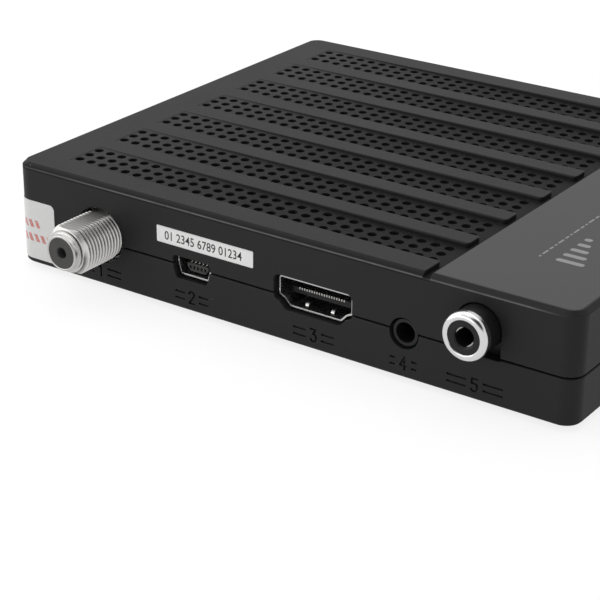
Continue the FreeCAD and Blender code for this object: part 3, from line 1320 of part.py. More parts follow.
def capacitors():
    """Upright electrolytic capacitors."""
    profile = [(0, 0), (0, CAP_R), (CAP_NECK_Z - CAP_NECK, CAP_R), (CAP_NECK_Z, CAP_R - CAP_NECK_SINK),
               (CAP_NECK_Z + CAP_NECK, CAP_R), (CAP_H, CAP_R, 0.3), (CAP_H, 0)]
    places = [(SUPPLY_X - CAP_ROW_X + i * CAP_PITCH, SUPPLY_Y - CAP_ROW_Y) for i in range(3)]
    places += [(SUPPLY_X, POWER_Y + CAP_INLET_Y), (CHIP_X - CAP_CHIP_X, CHIP_Y + CAP_CHIP_Y)]
    return group([turned(profile, V(x, y, BOARD_TOP), V(0, 0, 1)) for x, y in places])


def crystal_can():
    """Clock crystal in its metal can."""
    xs = about(CHIP_X - CRYSTAL_X, CRYSTAL_D)
    ys = about(CHIP_Y + CRYSTAL_Y, CRYSTAL_W)
    corners = rectangle(xs, ys, CRYSTAL_D / 2 - 0.01)
    return prism(corners, "z", (BOARD_TOP, BOARD_TOP + CRYSTAL_H))


def chip_components():
    """Small surface parts in rows round the main chip and behind the video socket."""
    row_pitch = SINK_W / 8
    places = []
    for y in (CHIP_Y - SMALL_ROW_Y, CHIP_Y - SMALL_ROW_Y - SMALL_ROW_GAP):
        places += [(CHIP_X + (i - 4) * row_pitch, y) for i in range(9)]
    places += [(VIDEO_X + (i - 2) * SMALL_PITCH, SMALL_VIDEO_Y) for i in range(5)]
    parts = [chip(x, y, SMALL_W, SMALL_L, SMALL_T) for x, y in places]
    for i in range(6):
        y = CHIP_Y - SMALL_SIDE_Y + i * SMALL_PITCH
        parts.append(chip(CHIP_X + SMALL_SIDE_X, y, SMALL_L, SMALL_W, SMALL_T))
    return group(parts)


PIECES = {
    "top_cover": top_cover,
    "bottom_cover": bottom_cover,
    "top_trim_plate": top_trim_plate,
    "number_label": number_label,
    "seal_sticker": seal_sticker,
    "rubber_feet": rubber_feet,
    "case_screws": case_screws,
    "front_window": front_window,
    "main_board": main_board,
    "board_screws": board_screws,
    "aerial_barrel": aerial_barrel,
    "aerial_base": aerial_base,
    "aerial_insulator": aerial_insulator,
    "aerial_contact": aerial_contact,
    "extension_socket_shell": extension_socket_shell,
    "extension_socket_core": extension_socket_core,
    "extension_socket_contacts": extension_socket_contacts,
    "video_socket_shell": video_socket_shell,
    "video_socket_core": video_socket_core,
    "video_socket_contacts": video_socket_contacts,
    "av_jack_body": av_jack_body,
    "av_jack_springs": av_jack_springs,
    "coax_body": coax_body,
    "coax_ring": coax_ring,
    "coax_insulator": coax_insulator,
    "coax_contact": coax_contact,
    "power_inlet_body": power_inlet_body,
    "power_inlet_pin": power_inlet_pin,
    "power_inlet_spring": power_inlet_spring,
    "data_socket_shell": data_socket_shell,
    "data_socket_core": data_socket_core,
    "data_socket_contacts": data_socket_contacts,
    "display_body": display_body,
    "display_segments": display_segments,
    "infrared_receiver": infrared_receiver,
    "standby_lamp": standby_lamp,
    "component_leads": component_leads,
    "switch_bodies": switch_bodies,
    "switch_plates": switch_plates,
    "tuner_frame": tuner_frame,
    "tuner_lid": tuner_lid,
    "tuner_chip": tuner_chip,
    "main_processor": main_processor,
    "thermal_pad": thermal_pad,
    "heat_sink": heat_sink,
    "memory_chips": memory_chips,
    "power_chips": power_chips,
    "power_coils": power_coils,
    "capacitors": capacitors,
    "crystal_can": crystal_can,
    "chip_components": chip_components,
}
KEY_NAMES = ["standby", "channel_up", "channel_down"]


def main():
    """Builds and writes every piece."""
    os.makedirs("parts", exist_ok=True)
    for name, build in PIECES.items():
        save(name, build())
    for name, x in zip(KEY_NAMES, KEY_XS):
        save(name + "_key", key_cap(x))
        save(name + "_plunger", key_plunger(x))


main()
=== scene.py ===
"""Finishes, printed marks, threaded barrel, stage and camera of a small satellite receiver.

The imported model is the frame: its pieces keep their places and shapes and get their
finishes here.  Lengths in the settings are millimetres; meshes are in metres.
"""

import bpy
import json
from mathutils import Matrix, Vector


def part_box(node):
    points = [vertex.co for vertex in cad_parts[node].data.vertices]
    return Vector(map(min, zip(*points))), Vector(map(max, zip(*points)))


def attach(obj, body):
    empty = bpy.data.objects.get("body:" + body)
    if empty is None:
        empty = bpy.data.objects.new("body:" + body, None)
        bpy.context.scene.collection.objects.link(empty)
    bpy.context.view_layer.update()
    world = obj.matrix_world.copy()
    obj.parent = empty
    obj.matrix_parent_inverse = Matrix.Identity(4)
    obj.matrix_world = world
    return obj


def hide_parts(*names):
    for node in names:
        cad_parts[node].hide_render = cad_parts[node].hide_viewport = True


bl_info = {
    "name": "Satellite receiver finishes",
    "version": (1, 0, 0),
    "blender": (4, 5, 0),
    "location": "View3D > Sidebar > Receiver",
    "description": "Gives the packed receiver its finishes, printed marks, thread and stage",
    "category": "Object",
}

import json
import math

import bpy
import numpy as np
from bpy.props import FloatProperty, FloatVectorProperty, IntProperty, PointerProperty, StringProperty
from mathutils import Matrix, Vector

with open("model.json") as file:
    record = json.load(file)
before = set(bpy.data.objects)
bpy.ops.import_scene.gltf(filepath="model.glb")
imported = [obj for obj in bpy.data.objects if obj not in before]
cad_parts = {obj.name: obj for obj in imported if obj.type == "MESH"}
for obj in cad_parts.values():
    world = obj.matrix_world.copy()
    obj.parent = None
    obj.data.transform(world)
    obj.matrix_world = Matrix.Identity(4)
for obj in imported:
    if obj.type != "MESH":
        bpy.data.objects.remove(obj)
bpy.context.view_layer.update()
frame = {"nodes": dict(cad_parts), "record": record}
MM = 0.001


def node_box(name):
    """Lowest corner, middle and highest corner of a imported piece, in millimetres."""
    low, high = ([value / MM for value in corner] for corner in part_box(name))
    return low, [(a + b) / 2 for a, b in zip(low, high)], high


BARREL_LOW, BARREL_MIDDLE, BARREL_HIGH = node_box("aerial_barrel")
LABEL_LOW, LABEL_MIDDLE, LABEL_HIGH = node_box("number_label")
SEAL_LOW = node_box("seal_sticker")[0]
TRIM_LOW, _, TRIM_HIGH = node_box("top_trim_plate")
_, LEAF_MIDDLE, LEAF_HIGH = node_box("coax_contact")
CAN_TOP = node_box("capacitors")[-1][2]
LID_LOW, _, LID_HIGH = node_box("top_cover")


# ---- Settings ----------------------------------------------------------------------
def length(name, description, default):
    """A length setting in millimetres."""
    return FloatProperty(name=name, description=description, default=default, min=0.0, precision=3)


def amount(name, description, default):
    """A setting that is a plain number."""
    return FloatProperty(name=name, description=description, default=default)


def degrees(name, description, default):
    """An angle setting, whose default is given in degrees."""
    return FloatProperty(name=name, description=description, default=math.radians(default), subtype="ANGLE")


def colour(name, description, default):
    """A colour setting in linear light."""
    return FloatVectorProperty(name=name, description=description, default=default, subtype="COLOR",
                               size=3, min=0.0, max=1.0)


class ReceiverCaseSettings(bpy.types.PropertyGroup):
    """Finish of the moulded case."""

    plastic: colour("Case plastic", "Colour of both shells", (0.021, 0.021, 0.0215))
    trim: colour("Trim plastic", "Colour of the smooth plate on the top", (0.0615, 0.0585, 0.0595))
    grain: length("Grain", "Size of the moulded grain in mm", 0.34)
    relief: length("Grain relief", "Height of the moulded grain in mm", 0.022)
    softness: length("Edge rounding", "Radius of the softened edges in mm", 0.15)
    seal_print: colour("Seal print", "Colour of the strokes on the seal", (0.60, 0.16, 0.14))


class ReceiverThreadSettings(bpy.types.PropertyGroup):
    """Shape of the aerial connector's barrel."""

    pitch: length("Pitch", "Advance of one turn in mm", 0.79375)
    crest: length("Crest radius", "Outer radius of the thread in mm", 4.7625)
    depth: length("Depth", "Depth of the thread in mm", 0.44)
    start: length("Start", "Distance from the tip to the first groove in mm", 1.80)
    flat: length("Flats", "Half height across the two flats in mm", 4.1)
    neck: length("Neck radius", "Radius of the plain tip in mm", 3.3)
    collar: length("Collar radius", "Radius of the low collar behind the tip in mm", 3.66)
    spigot: length("Plain end", "Length of the plain end inside the base in mm", 3.0)
    core: length("Bore radius", "Radius of the bore that holds the core in mm", 2.88)
    turns: IntProperty(name="Angles", description="Stations round one turn", default=240, min=48)


class ReceiverPrintSettings(bpy.types.PropertyGroup):
    """Printed marks."""

    digits: StringProperty(name="Digits", description="Plain digits on the label",
                           default="01 2345 6789 01234")
    digit_height: length("Digit height", "Height of the digits on the label in mm", 1.66)
    digit_line: length("Digit line", "Length of the row of digits in mm", 16.7)
    film: length("Film", "Thickness of printed ink in mm", 0.008)
    trim_ink: colour("Trim ink", "Colour of the print on the plate", (0.34, 0.34, 0.34))
    label_ink: colour("Label ink", "Colour of the digits", (0.045, 0.045, 0.048))


class ReceiverStageSettings(bpy.types.PropertyGroup):
    """Camera, lamps and floor."""

    azimuth: degrees("Azimuth", "Camera's turn from the port side", 34.9046)
    elevation: degrees("Elevation", "Camera's height angle", 24.6263)
    roll: degrees("Roll", "Camera's turn about its own axis", 0.3554)
    distance: length("Distance", "Camera to target in mm", 310.702)
    target: FloatVectorProperty(name="Target", description="Point in mm that the camera looks at", size=3,
                                default=(6.0135, -43.05, 9.4986))
    lens: amount("Lens", "Focal length on a 36 mm sensor", 111.635)
    ambient: amount("Ambient", "Light from all round on dull surfaces", 0.5)
    gloss: amount("Gloss", "How bright the pale surroundings look in gloss", 0.72)
    top_watts: amount("Top lamp", "Power of the overhead lamp in W", 2.8)
    left_watts: amount("Left lamp", "Power of the lamp at the left in W", 0.7)
    low_watts: amount("Low lamp", "Power of the low front lamp in W", 1.0)
    floor: colour("Floor", "Colour of the floor", (0.8, 0.8, 0.8))


# ---- Node sheets -------------------------------------------------------------------
# The Mix node's sockets for colours: both inputs and the output.
MIX_COLOUR_A = 6
MIX_COLOUR_B = 7
MIX_COLOUR_RESULT = 2


class Signal:
    """One output of a node; arithmetic on it adds Math nodes to the same sheet."""

    def __init__(self, sheet, node, output=0):
        self.sheet = sheet
        self.node = node
        self.socket = node.outputs[output] if node.outputs else None

    def output(self, name):
        """Another output of the same node."""
        return Signal(self.sheet, self.node, name)

    def __add__(self, other):
        return self.sheet.maths("ADD", self, other)

    def __radd__(self, other):
        return self.sheet.maths("ADD", other, self)

    def __sub__(self, other):
        return self.sheet.maths("SUBTRACT", self, other)

    def __rsub__(self, other):
        return self.sheet.maths("SUBTRACT", other, self)

    def __mul__(self, other):
        return self.sheet.maths("MULTIPLY", self, other)

    def __rmul__(self, other):
        return self.sheet.maths("MULTIPLY", other, self)

    def __truediv__(self, other):
        return self.sheet.maths("DIVIDE", self, other)

    def __mod__(self, other):
        return self.sheet.maths("FLOORED_MODULO", self, other)

    def __lt__(self, other):
        return self.sheet.maths("LESS_THAN", self, other)

    def __gt__(self, other):
        return self.sheet.maths("GREATER_THAN", self, other)

    def __abs__(self):
        return self.sheet.maths("ABSOLUTE", self)

    def clamped(self):
        """The same value kept between 0 and 1."""
        return self.sheet.node("ShaderNodeClamp", {}, {"Value": self})

    def rising(self, start, stop):
        """0 up to the start, rising to 1 at the stop, which may lie on either side of it."""
        return ((self - start) / (stop - start)).clamped()

    def swing(self, amount):
        """A value between 0 and 1 made to swing about 0, by an amount from end to end."""
        return amount * (self - 0.5)


class Sheet:
    """The node tree of one finish, or of the world."""

    def __init__(self, tree):
        self.tree = tree
        tree.nodes.clear()

    def node(self, kind, settings=None, inputs=None, output=0):
        """Adds one node: its settings first, then the values or links of its sockets."""
        node = self.tree.nodes.new(kind)
        for name, value in (settings or {}).items():
            setattr(node, name, value)
        for key, value in (inputs or {}).items():
            if isinstance(value, Signal):
                self.tree.links.new(value.socket, node.inputs[key])
            else:
                node.inputs[key].default_value = value
        return Signal(self, node, output)

    def maths(self, operation, *values):
        """One Math node."""
        return self.node("ShaderNodeMath", {"operation": operation}, dict(enumerate(values)))

    def place(self):
        """Object coordinates in millimetres."""
        spot = self.node("ShaderNodeTexCoord", output="Object")
        return self.node("ShaderNodeVectorMath", {"operation": "SCALE"}, {0: spot, "Scale": 1 / MM})

    def parts(self, vector):
        """The x, y and z values of a vector."""
        split = self.node("ShaderNodeSeparateXYZ", {}, {0: vector})
        return split, split.output("Y"), split.output("Z")

    def stretched(self, vector, factors):
        """A vector with each part multiplied by its own factor."""
        return self.node("ShaderNodeVectorMath", {"operation": "MULTIPLY"}, {0: vector, 1: factors})

    def noise(self, vector, size, detail=2.0):
        """Cloudy values about one half, with features of a size in mm."""
        inputs = {"Vector": vector, "Scale": 1 / size, "Detail": detail, "Roughness": 0.55}
        return self.node("ShaderNodeTexNoise", {}, inputs)

    def cells(self, vector, size):
        """Distance to the nearest of scattered points about a size in mm apart."""
        return self.node("ShaderNodeTexVoronoi", {}, {"Vector": vector, "Scale": 1 / size})

    def dot(self, a, b):
        """Dot product of two vectors."""
        return self.node("ShaderNodeVectorMath", {"operation": "DOT_PRODUCT"}, {0: a, 1: b}, "Value")

    def tinted(self, mask, colour_a, colour_b):
        """Colour a where the mask is 0, colour b where it is 1."""
        inputs = {"Factor": mask, MIX_COLOUR_A: colour_a, MIX_COLOUR_B: colour_b}
        return self.node("ShaderNodeMix", {"data_type": "RGBA"}, inputs, MIX_COLOUR_RESULT)

    def soft_edges(self, radius):
        """Normal with the edges rounded by a radius in mm."""
        return self.node("ShaderNodeBevel", {"samples": 6}, {"Radius": radius * MM})

    def edge_mask(self, softened, gain):
        """0 on open faces, rising to 1 where the softened normal turns away from the face."""
        flat = self.node("ShaderNodeNewGeometry", output="Normal")
        return ((1 - self.dot(flat, softened)) * gain).clamped()

    def relief(self, height, depth, normal=None):
        """Normal bumped by a height value times a depth in mm."""
        inputs = {"Height": height, "Distance": depth * MM, "Strength": 1.0}
        if normal:
            inputs["Normal"] = normal
        return self.node("ShaderNodeBump", {}, inputs)

    def facing(self, towards, direction, start, stop):
        """0 where a direction is far from another, rising to 1 between two cosines."""
        return self.dot(towards, direction).rising(start, stop)

    def painted(self, name):
        """A value kept on the mesh's points."""
        return self.node("ShaderNodeAttribute", {"attribute_name": name}, output="Fac")

    def surface(self, **values):
        """The principled surface; underscores in names stand for spaces."""
        inputs = {name.replace("_", " "): value for name, value in values.items()}
        shader = self.node("ShaderNodeBsdfPrincipled", {}, inputs)
        self.node("ShaderNodeOutputMaterial", {}, {"Surface": shader})


def rgba(values):
    """A colour with full opacity."""
    return (*values, 1.0)


def scaled(values, factor):
    """A colour made lighter or darker, with full opacity."""
    return rgba([min(1.0, value * factor) for value in values])


# ---- Finishes of the case ----------------------------------------------------------
# Places on the top cover, in mm.
CHAMFER = 0.85  # height of the chamfer round the top
ROOF = 1.3  # thickness of the layer under the top that holds the strips
SUNK_START = 0.05  # depth at which a strip starts to get its painted shade and duller grain
SUNK_FULL = 0.55  # depth at which both are whole
HIGHLIGHT_LINE = LID_HIGH[2] - CHAMFER - 0.02  # height of the painted highlight line, just under the chamfer
HIGHLIGHT_REACH = 0.17  # how far above and below it the painted highlight reaches
PORT_SKIN = 0.2  # depth of the port side's outer layer
LEFT_FADE = 24.0  # length over which the painted highlight line fades in from the left
RIGHT_FADE_START = 9.0  # where it starts to fade out, from the right
RIGHT_FADE_STOP = 3.0  # where it is gone


def case_plastic(sheet, case):
    """Black plastic with a fine moulded grain, duller in the sunken strips, which are also darkened as
    painted shade.

    Edges are lighter, partly from wear and partly as a painted highlight; a painted highlight line runs
    along the port side's chamfer, and there are a few specks of dust.
    """
    place = sheet.place()
    x, y, z = sheet.parts(place)
    grain = sheet.noise(place, case.grain, detail=3.0)
    pits = sheet.cells(place, case.grain * 1.7)
    swell = sheet.noise(place, size=19.0, detail=1.0)
    specks = sheet.cells(place, size=6.0) < 0.016
    softened = sheet.soft_edges(case.softness)
    # Lighter, smoother edges: partly wear, partly a painted highlight.
    wear_and_highlight = sheet.edge_mask(softened, gain=12.0) * (0.7 + 0.6 * sheet.noise(place, size=2.0))
    roof = (z > LID_HIGH[2] - ROOF) * (x < TRIM_LOW[0])
    sunken = z.rising(LID_HIGH[2] - SUNK_START, LID_HIGH[2] - SUNK_FULL) * roof
    # Painted highlight: a lighter line just under the chamfer on the port side, fading in from the left and
    # out near the right end.
    corner = (1 - abs(z - HIGHLIGHT_LINE) / HIGHLIGHT_REACH).clamped() * (y < LID_LOW[1] + PORT_SKIN)
    from_left = x.rising(LID_LOW[0], LID_LOW[0] + LEFT_FADE)
    to_right = x.rising(LID_HIGH[0] - RIGHT_FADE_START, LID_HIGH[0] - RIGHT_FADE_STOP)
    line_strength = (0.3 + 0.7 * from_left - to_right).clamped()
    lightened = corner * line_strength * (0.45 + 0.9 * sheet.noise(place, size=2.4))
    tone = sheet.tinted(swell, scaled(case.plastic, 0.88), scaled(case.plastic, 1.12))
    # Painted shade: the sunken strips are darkened; their added roughness is a duller grain.
    tone = sheet.tinted(sunken, tone, scaled(case.plastic, 0.6))
    # Lighter edges, partly wear and partly painted highlight.
    tone = sheet.tinted((wear_and_highlight * 0.4).clamped(), tone, scaled(case.plastic, 2.6))
    # The painted highlight line along the chamfer's lower edge.
    tone = sheet.tinted(lightened.clamped(), tone, scaled(case.plastic, 8.0))
    sheet.surface(
        Base_Color=sheet.tinted(specks * 0.5, tone, (0.35, 0.34, 0.32, 1)),
        Roughness=(0.46 + grain.swing(0.14) + swell.swing(0.10) + 0.2 * sunken - 0.2 * wear_and_highlight).clamped(),
        Specular_IOR_Level=0.17,
        Normal=sheet.relief(grain * 0.7 + pits * 0.3, case.relief, softened),
    )


def trim_plastic(sheet, case):
    """Graphite plate with a silky surface and a hint of flow."""
    place = sheet.place()
    silk = sheet.noise(place, size=0.16)
    flow = sheet.noise(sheet.stretched(place, (1.0, 0.25, 1.0)), size=9.0)
    softened = sheet.soft_edges(radius=0.12)
    wear_and_highlight = sheet.edge_mask(softened, gain=4.0)
    sheet.surface(
        Base_Color=sheet.tinted(flow, scaled(case.trim, 0.94), scaled(case.trim, 1.06)),
        Roughness=(0.40 + silk.swing(0.08) + flow.swing(0.06) - 0.08 * wear_and_highlight).clamped(),
        Specular_IOR_Level=0.3,
        Normal=sheet.relief(silk, depth=0.004, normal=softened),
    )


def key_plastic(sheet, case):
    """Satin black keys with patches smoothed by fingers."""
    place = sheet.place()
    grain = sheet.noise(place, size=0.25)
    touch = sheet.noise(place, size=2.5, detail=1.0)
    softened = sheet.soft_edges(radius=0.12)
    sheet.surface(
        Base_Color=sheet.tinted(touch, (0.026, 0.026, 0.028, 1), (0.038, 0.038, 0.040, 1)),
        Roughness=(0.38 + grain.swing(0.10) - touch.swing(0.10)).clamped(),
        Specular_IOR_Level=0.35,
        Normal=sheet.relief(grain, depth=0.006, normal=softened),
    )


def window_smoke(sheet, case):
    """Clear acrylic, smoked dark, with faint wipe marks."""
    place = sheet.place()
    wipes = sheet.noise(sheet.stretched(place, (0.15, 1.0, 1.0)), size=0.6, detail=3.0)
    sheet.surface(
        Base_Color=sheet.tinted(wipes, (0.10, 0.09, 0.10, 1), (0.12, 0.11, 0.12, 1)),
        Roughness=(0.03 + 0.05 * wipes).clamped(),
        IOR=1.49,
        Transmission_Weight=0.92,
        Normal=sheet.soft_edges(radius=0.08),
    )


LABEL_RIM = 0.35  # mm over which the label greys towards its upper and lower edge


def label_white(sheet, case):
    """White film with a faint tooth, a touch greyer near its upper and lower edge."""
    place = sheet.place()
    z = sheet.parts(place)[2]
    tooth = sheet.noise(place, size=0.12)
    stain = sheet.noise(place, size=4.0)
    lower = z.rising(LABEL_LOW[2] + LABEL_RIM, LABEL_LOW[2])
    upper = z.rising(LABEL_HIGH[2] - LABEL_RIM, LABEL_HIGH[2])
    tone = sheet.tinted(stain, (0.88, 0.88, 0.875, 1), (0.93, 0.93, 0.925, 1))
    sheet.surface(
        Base_Color=sheet.tinted((lower + upper) * 0.35, tone, (0.66, 0.66, 0.65, 1)),
        Roughness=(0.42 + tooth.swing(0.14)).clamped(),
        Normal=sheet.relief(tooth, depth=0.003),
    )


# Strokes on the seal, in mm.  A row has the height of its middle, then along the seal its
# middle and half its length.
SEAL_ROWS = ((6.95, 0.9, 4.5), (4.20, 0.4, 6.7))
ROW_HALF_HEIGHT = 0.72
STROKE_PITCH = 1.5
STROKE_WIDTH = 0.85
STROKE_SLANT = 0.45


def seal_white(sheet, case):
    """Brittle film over the corner, with two rows of slanted red strokes."""
    place = sheet.place()
    x, y, z = sheet.parts(place)
    along = (x - SEAL_LOW[0]) - (y - SEAL_LOW[1])
    rise = z - SEAL_LOW[2]
    fray = sheet.noise(place, size=0.35, detail=3.0) - 0.5
    slanted = (along + rise * STROKE_SLANT + fray * 0.10) % STROKE_PITCH
    wavy = rise + fray * 0.12
    rows = [(abs(wavy - height) < ROW_HALF_HEIGHT) * (abs(along - middle) < reach)
            for height, middle, reach in SEAL_ROWS]
    printed = (slanted < STROKE_WIDTH) * (rows[0] + rows[1]).clamped() * (0.85 + 0.9 * fray)
    tooth = sheet.noise(place, size=0.5, detail=3.0)
    tone = sheet.tinted(tooth, (0.71, 0.71, 0.705, 1), (0.79, 0.79, 0.785, 1))
    sheet.surface(
        Base_Color=sheet.tinted(printed.clamped(), tone, rgba(case.seal_print)),
        Roughness=(0.46 + tooth.swing(0.16)).clamped(),
        Normal=sheet.relief(tooth, depth=0.02),
    )


def foot_rubber(sheet, case):
    """Black rubber with a dusty, pitted skin."""
    place = sheet.place()
    pits = sheet.cells(place, size=0.5)
    dust = sheet.noise(place, size=1.2, detail=3.0)
    sheet.surface(
        Base_Color=sheet.tinted(dust, (0.016, 0.016, 0.016, 1), (0.045, 0.044, 0.042, 1)),
        Roughness=(0.78 + dust.swing(0.2)).clamped(),
        Normal=sheet.relief(pits, depth=0.02, normal=sheet.soft_edges(radius=0.15)),
    )


def screw_steel(sheet, case):
    """Black zinc steel, its edges brighter from wear."""
    place = sheet.place()
    cloud = sheet.noise(place, size=0.9, detail=3.0)
    softened = sheet.soft_edges(radius=0.1)
    lightened = sheet.edge_mask(softened, gain=4.0) * (0.3 + cloud)
    sheet.surface(
        Base_Color=sheet.tinted(lightened.clamped(), (0.16, 0.16, 0.17, 1), (0.50, 0.49, 0.47, 1)),
        Metallic=1.0,
        Roughness=(0.34 + cloud.swing(0.2)).clamped(),
        Normal=softened,
    )


# ---- Finishes of the sockets -------------------------------------------------------
def nickel_plate(sheet, case):
    """Bright nickel with painted shade and more roughness down in the thread, darker and rougher behind the
    collar, brushed on the flats.
    """
    place = sheet.place()
    cloud = sheet.noise(place, size=1.1, detail=3.0)
    lines = sheet.noise(sheet.stretched(place, (0.4, 9.0, 0.4)), size=0.7)
    brushed = sheet.noise(sheet.stretched(place, (0.25, 6.0, 1.0)), size=0.5, detail=3.0)
    sunk = sheet.painted("sunk")
    level = sheet.painted("level")
    # Painted shade in the thread's grooves; behind the collar the same value makes the metal darker and
    # rougher.
    shade_and_dulling = (sunk * (0.75 + 0.5 * cloud)).clamped()
    # On the flats the brushed streaks are darker: brushing, and partly a painted dark reflection of the
    # case.
    bright = sheet.tinted(level * brushed, (0.89, 0.88, 0.86, 1), (0.42, 0.415, 0.40, 1))
    marks = lines * (1 - level) + brushed * level
    sheet.surface(
        Base_Color=sheet.tinted(shade_and_dulling, bright, (0.15, 0.147, 0.14, 1)),
        Metallic=1 - level * 0.16,
        Roughness=(0.24 + cloud.swing(0.10) + marks.swing(0.14) + 0.10 * shade_and_dulling + 0.16 * level).clamped(),
        Normal=sheet.relief(marks, depth=0.004),
    )


def ring_chrome(sheet, case):
    """Polished ring with hair-fine turning marks."""
    place = sheet.place()
    lines = sheet.noise(sheet.stretched(place, (0.3, 12.0, 0.3)), size=0.8)
    smear = sheet.noise(place, size=1.6)
    sheet.surface(
        Base_Color=sheet.tinted(smear, (0.85, 0.85, 0.85, 1), (0.92, 0.92, 0.92, 1)),
        Metallic=1.0,
        Roughness=(0.178 + smear.swing(0.08) + lines.swing(0.06)).clamped(),
        Normal=sheet.relief(lines, depth=0.003),
    )


def shell_tin(sheet, case):
    """Tin-plated sheet with rolling marks and rounded folds."""
    place = sheet.place()
    rolled = sheet.noise(sheet.stretched(place, (5.0, 0.35, 5.0)), size=0.8, detail=3.0)
    cloud = sheet.noise(place, size=1.8)
    softened = sheet.soft_edges(radius=0.08)
    sheet.surface(
        Base_Color=sheet.tinted(cloud, (0.60, 0.60, 0.60, 1), (0.72, 0.72, 0.71, 1)),
        Metallic=1.0,
        Roughness=(0.27 + rolled.swing(0.14) + cloud.swing(0.10)).clamped(),
        Normal=sheet.relief(rolled, depth=0.004, normal=softened),
    )


# The coaxial leaves show bright metal this far from their middle, along x less z, in mm; nearer, they are
# painted dark as shade.
LEAF_BRIGHT = 1.97
LEAF_FULLY_BRIGHT = 2.05


def contact_tin(sheet, case):
    """Bright tin with duller patches; a coaxial leaf is painted dark as shade but for a bright streak in
    its middle.
    """
    place = sheet.place()
    x, y, z = sheet.parts(place)
    cloud = sheet.noise(place, size=0.6, detail=3.0)
    lean = abs(x - z - (LEAF_MIDDLE[0] - LEAF_MIDDLE[2]))
    # Painted shade: the coaxial leaves are near black except for the two streaks; other contacts keep their
    # metal.
    lightened = (lean.rising(LEAF_BRIGHT, LEAF_FULLY_BRIGHT) + (y > LEAF_HIGH[1])).clamped()
    bright = sheet.tinted(cloud, (0.40, 0.39, 0.37, 1), (0.58, 0.57, 0.55, 1))
    sheet.surface(
        Base_Color=sheet.tinted(lightened, (0.05, 0.05, 0.05, 1), bright),
        Metallic=1.0,
        Roughness=(0.26 + cloud.swing(0.16)).clamped(),
        Normal=sheet.relief(cloud, depth=0.004, normal=sheet.soft_edges(radius=0.04)),
    )


def moulded_block(sheet, low, high, roughness):
    """Dull moulded block between two shades, with fine flow marks."""
    place = sheet.place()
    flow = sheet.noise(place, size=1.6, detail=3.0)
    grain = sheet.noise(place, size=0.18)
    flowing = sheet.relief(flow, depth=0.06, normal=sheet.soft_edges(radius=0.08))
    sheet.surface(
        Base_Color=sheet.tinted(flow, low, high),
        Roughness=(roughness + grain.swing(0.12) + flow.swing(0.08)).clamped(),
        Specular_IOR_Level=0.3,
        Normal=sheet.relief(grain, depth=0.006, normal=flowing),
    )


def grey_insulator(sheet, case):
    """Dark grey moulded core."""
    moulded_block(sheet, (0.060, 0.058, 0.057, 1), (0.078, 0.075, 0.074, 1), roughness=0.5)


def black_insulator(sheet, case):
    """Black moulded block."""
    moulded_block(sheet, (0.009, 0.009, 0.009, 1), (0.016, 0.016, 0.017, 1), roughness=0.4)


# ---- Finishes of the circuit -------------------------------------------------------
# Copper tracks, in mm, and how many fields of them there are to a mm.
TRACK_PITCH = 0.9
TRACK_WIDTH = 0.34
TRACK_FIELDS = 0.14


def board_laminate(sheet, case):
    """Green lacquer over copper tracks, which run lengthways in some fields, crossways in others."""
    place = sheet.place()
    x, y = sheet.parts(place)[:2]
    inputs = {"Vector": place, "Scale": TRACK_FIELDS}
    field = sheet.node("ShaderNodeTexVoronoi", {"distance": "MANHATTAN"}, inputs, "Color")
    turn = sheet.parts(field)[0] > 0.5
    tracks = (x % TRACK_PITCH < TRACK_WIDTH) * turn + (y % TRACK_PITCH < TRACK_WIDTH) * (1 - turn)
    cloud = sheet.noise(place, size=6.0)
    lacquer = sheet.tinted(cloud, (0.010, 0.060, 0.022, 1), (0.014, 0.085, 0.032, 1))
    sheet.surface(
        Base_Color=sheet.tinted(tracks * 0.8, lacquer, (0.022, 0.150, 0.055, 1)),
        Roughness=(0.30 + cloud.swing(0.1)).clamped(),
        Normal=sheet.relief(tracks, depth=0.02),
    )


def chip_epoxy(sheet, case):
    """Black epoxy with a matt moulded face."""
    moulded_block(sheet, (0.020, 0.020, 0.021, 1), (0.034, 0.034, 0.035, 1), roughness=0.55)


def pad_grey(sheet, case):
    """Soft grey pad."""
    moulded_block(sheet, (0.30, 0.30, 0.33, 1), (0.38, 0.38, 0.42, 1), roughness=0.8)


def plunger_plastic(sheet, case):
    """Pale nylon plungers."""
    moulded_block(sheet, (0.26, 0.25, 0.24, 1), (0.33, 0.32, 0.30, 1), roughness=0.4)


def segment_lens(sheet, case):
    """Milky bars of the unlit display."""
    moulded_block(sheet, (0.46, 0.46, 0.42, 1), (0.56, 0.56, 0.50, 1), roughness=0.35)


def lamp_lens(sheet, case):
    """Red tinted epoxy, a little cloudy."""
    place = sheet.place()
    cloud = sheet.noise(place, size=0.9)
    sheet.surface(
        Base_Color=sheet.tinted(cloud, (0.42, 0.022, 0.020, 1), (0.55, 0.045, 0.035, 1)),
        Roughness=(0.14 + cloud.swing(0.1)).clamped(),
        IOR=1.52,
        Transmission_Weight=0.35,
    )


def sink_aluminium(sheet, case):
    """Dark anodised aluminium with drawn lines along the fins."""
    place = sheet.place()
    drawn = sheet.noise(sheet.stretched(place, (6.0, 0.2, 6.0)), size=0.9)
    sheet.surface(
        Base_Color=sheet.tinted(drawn, (0.10, 0.10, 0.105, 1), (0.16, 0.16, 0.165, 1)),
        Metallic=1.0,
        Roughness=(0.42 + drawn.swing(0.14)).clamped(),
        Normal=sheet.relief(drawn, depth=0.01, normal=sheet.soft_edges(radius=0.12)),
    )


CAN_LIP = 0.25  # depth in mm to which a can's top is bare


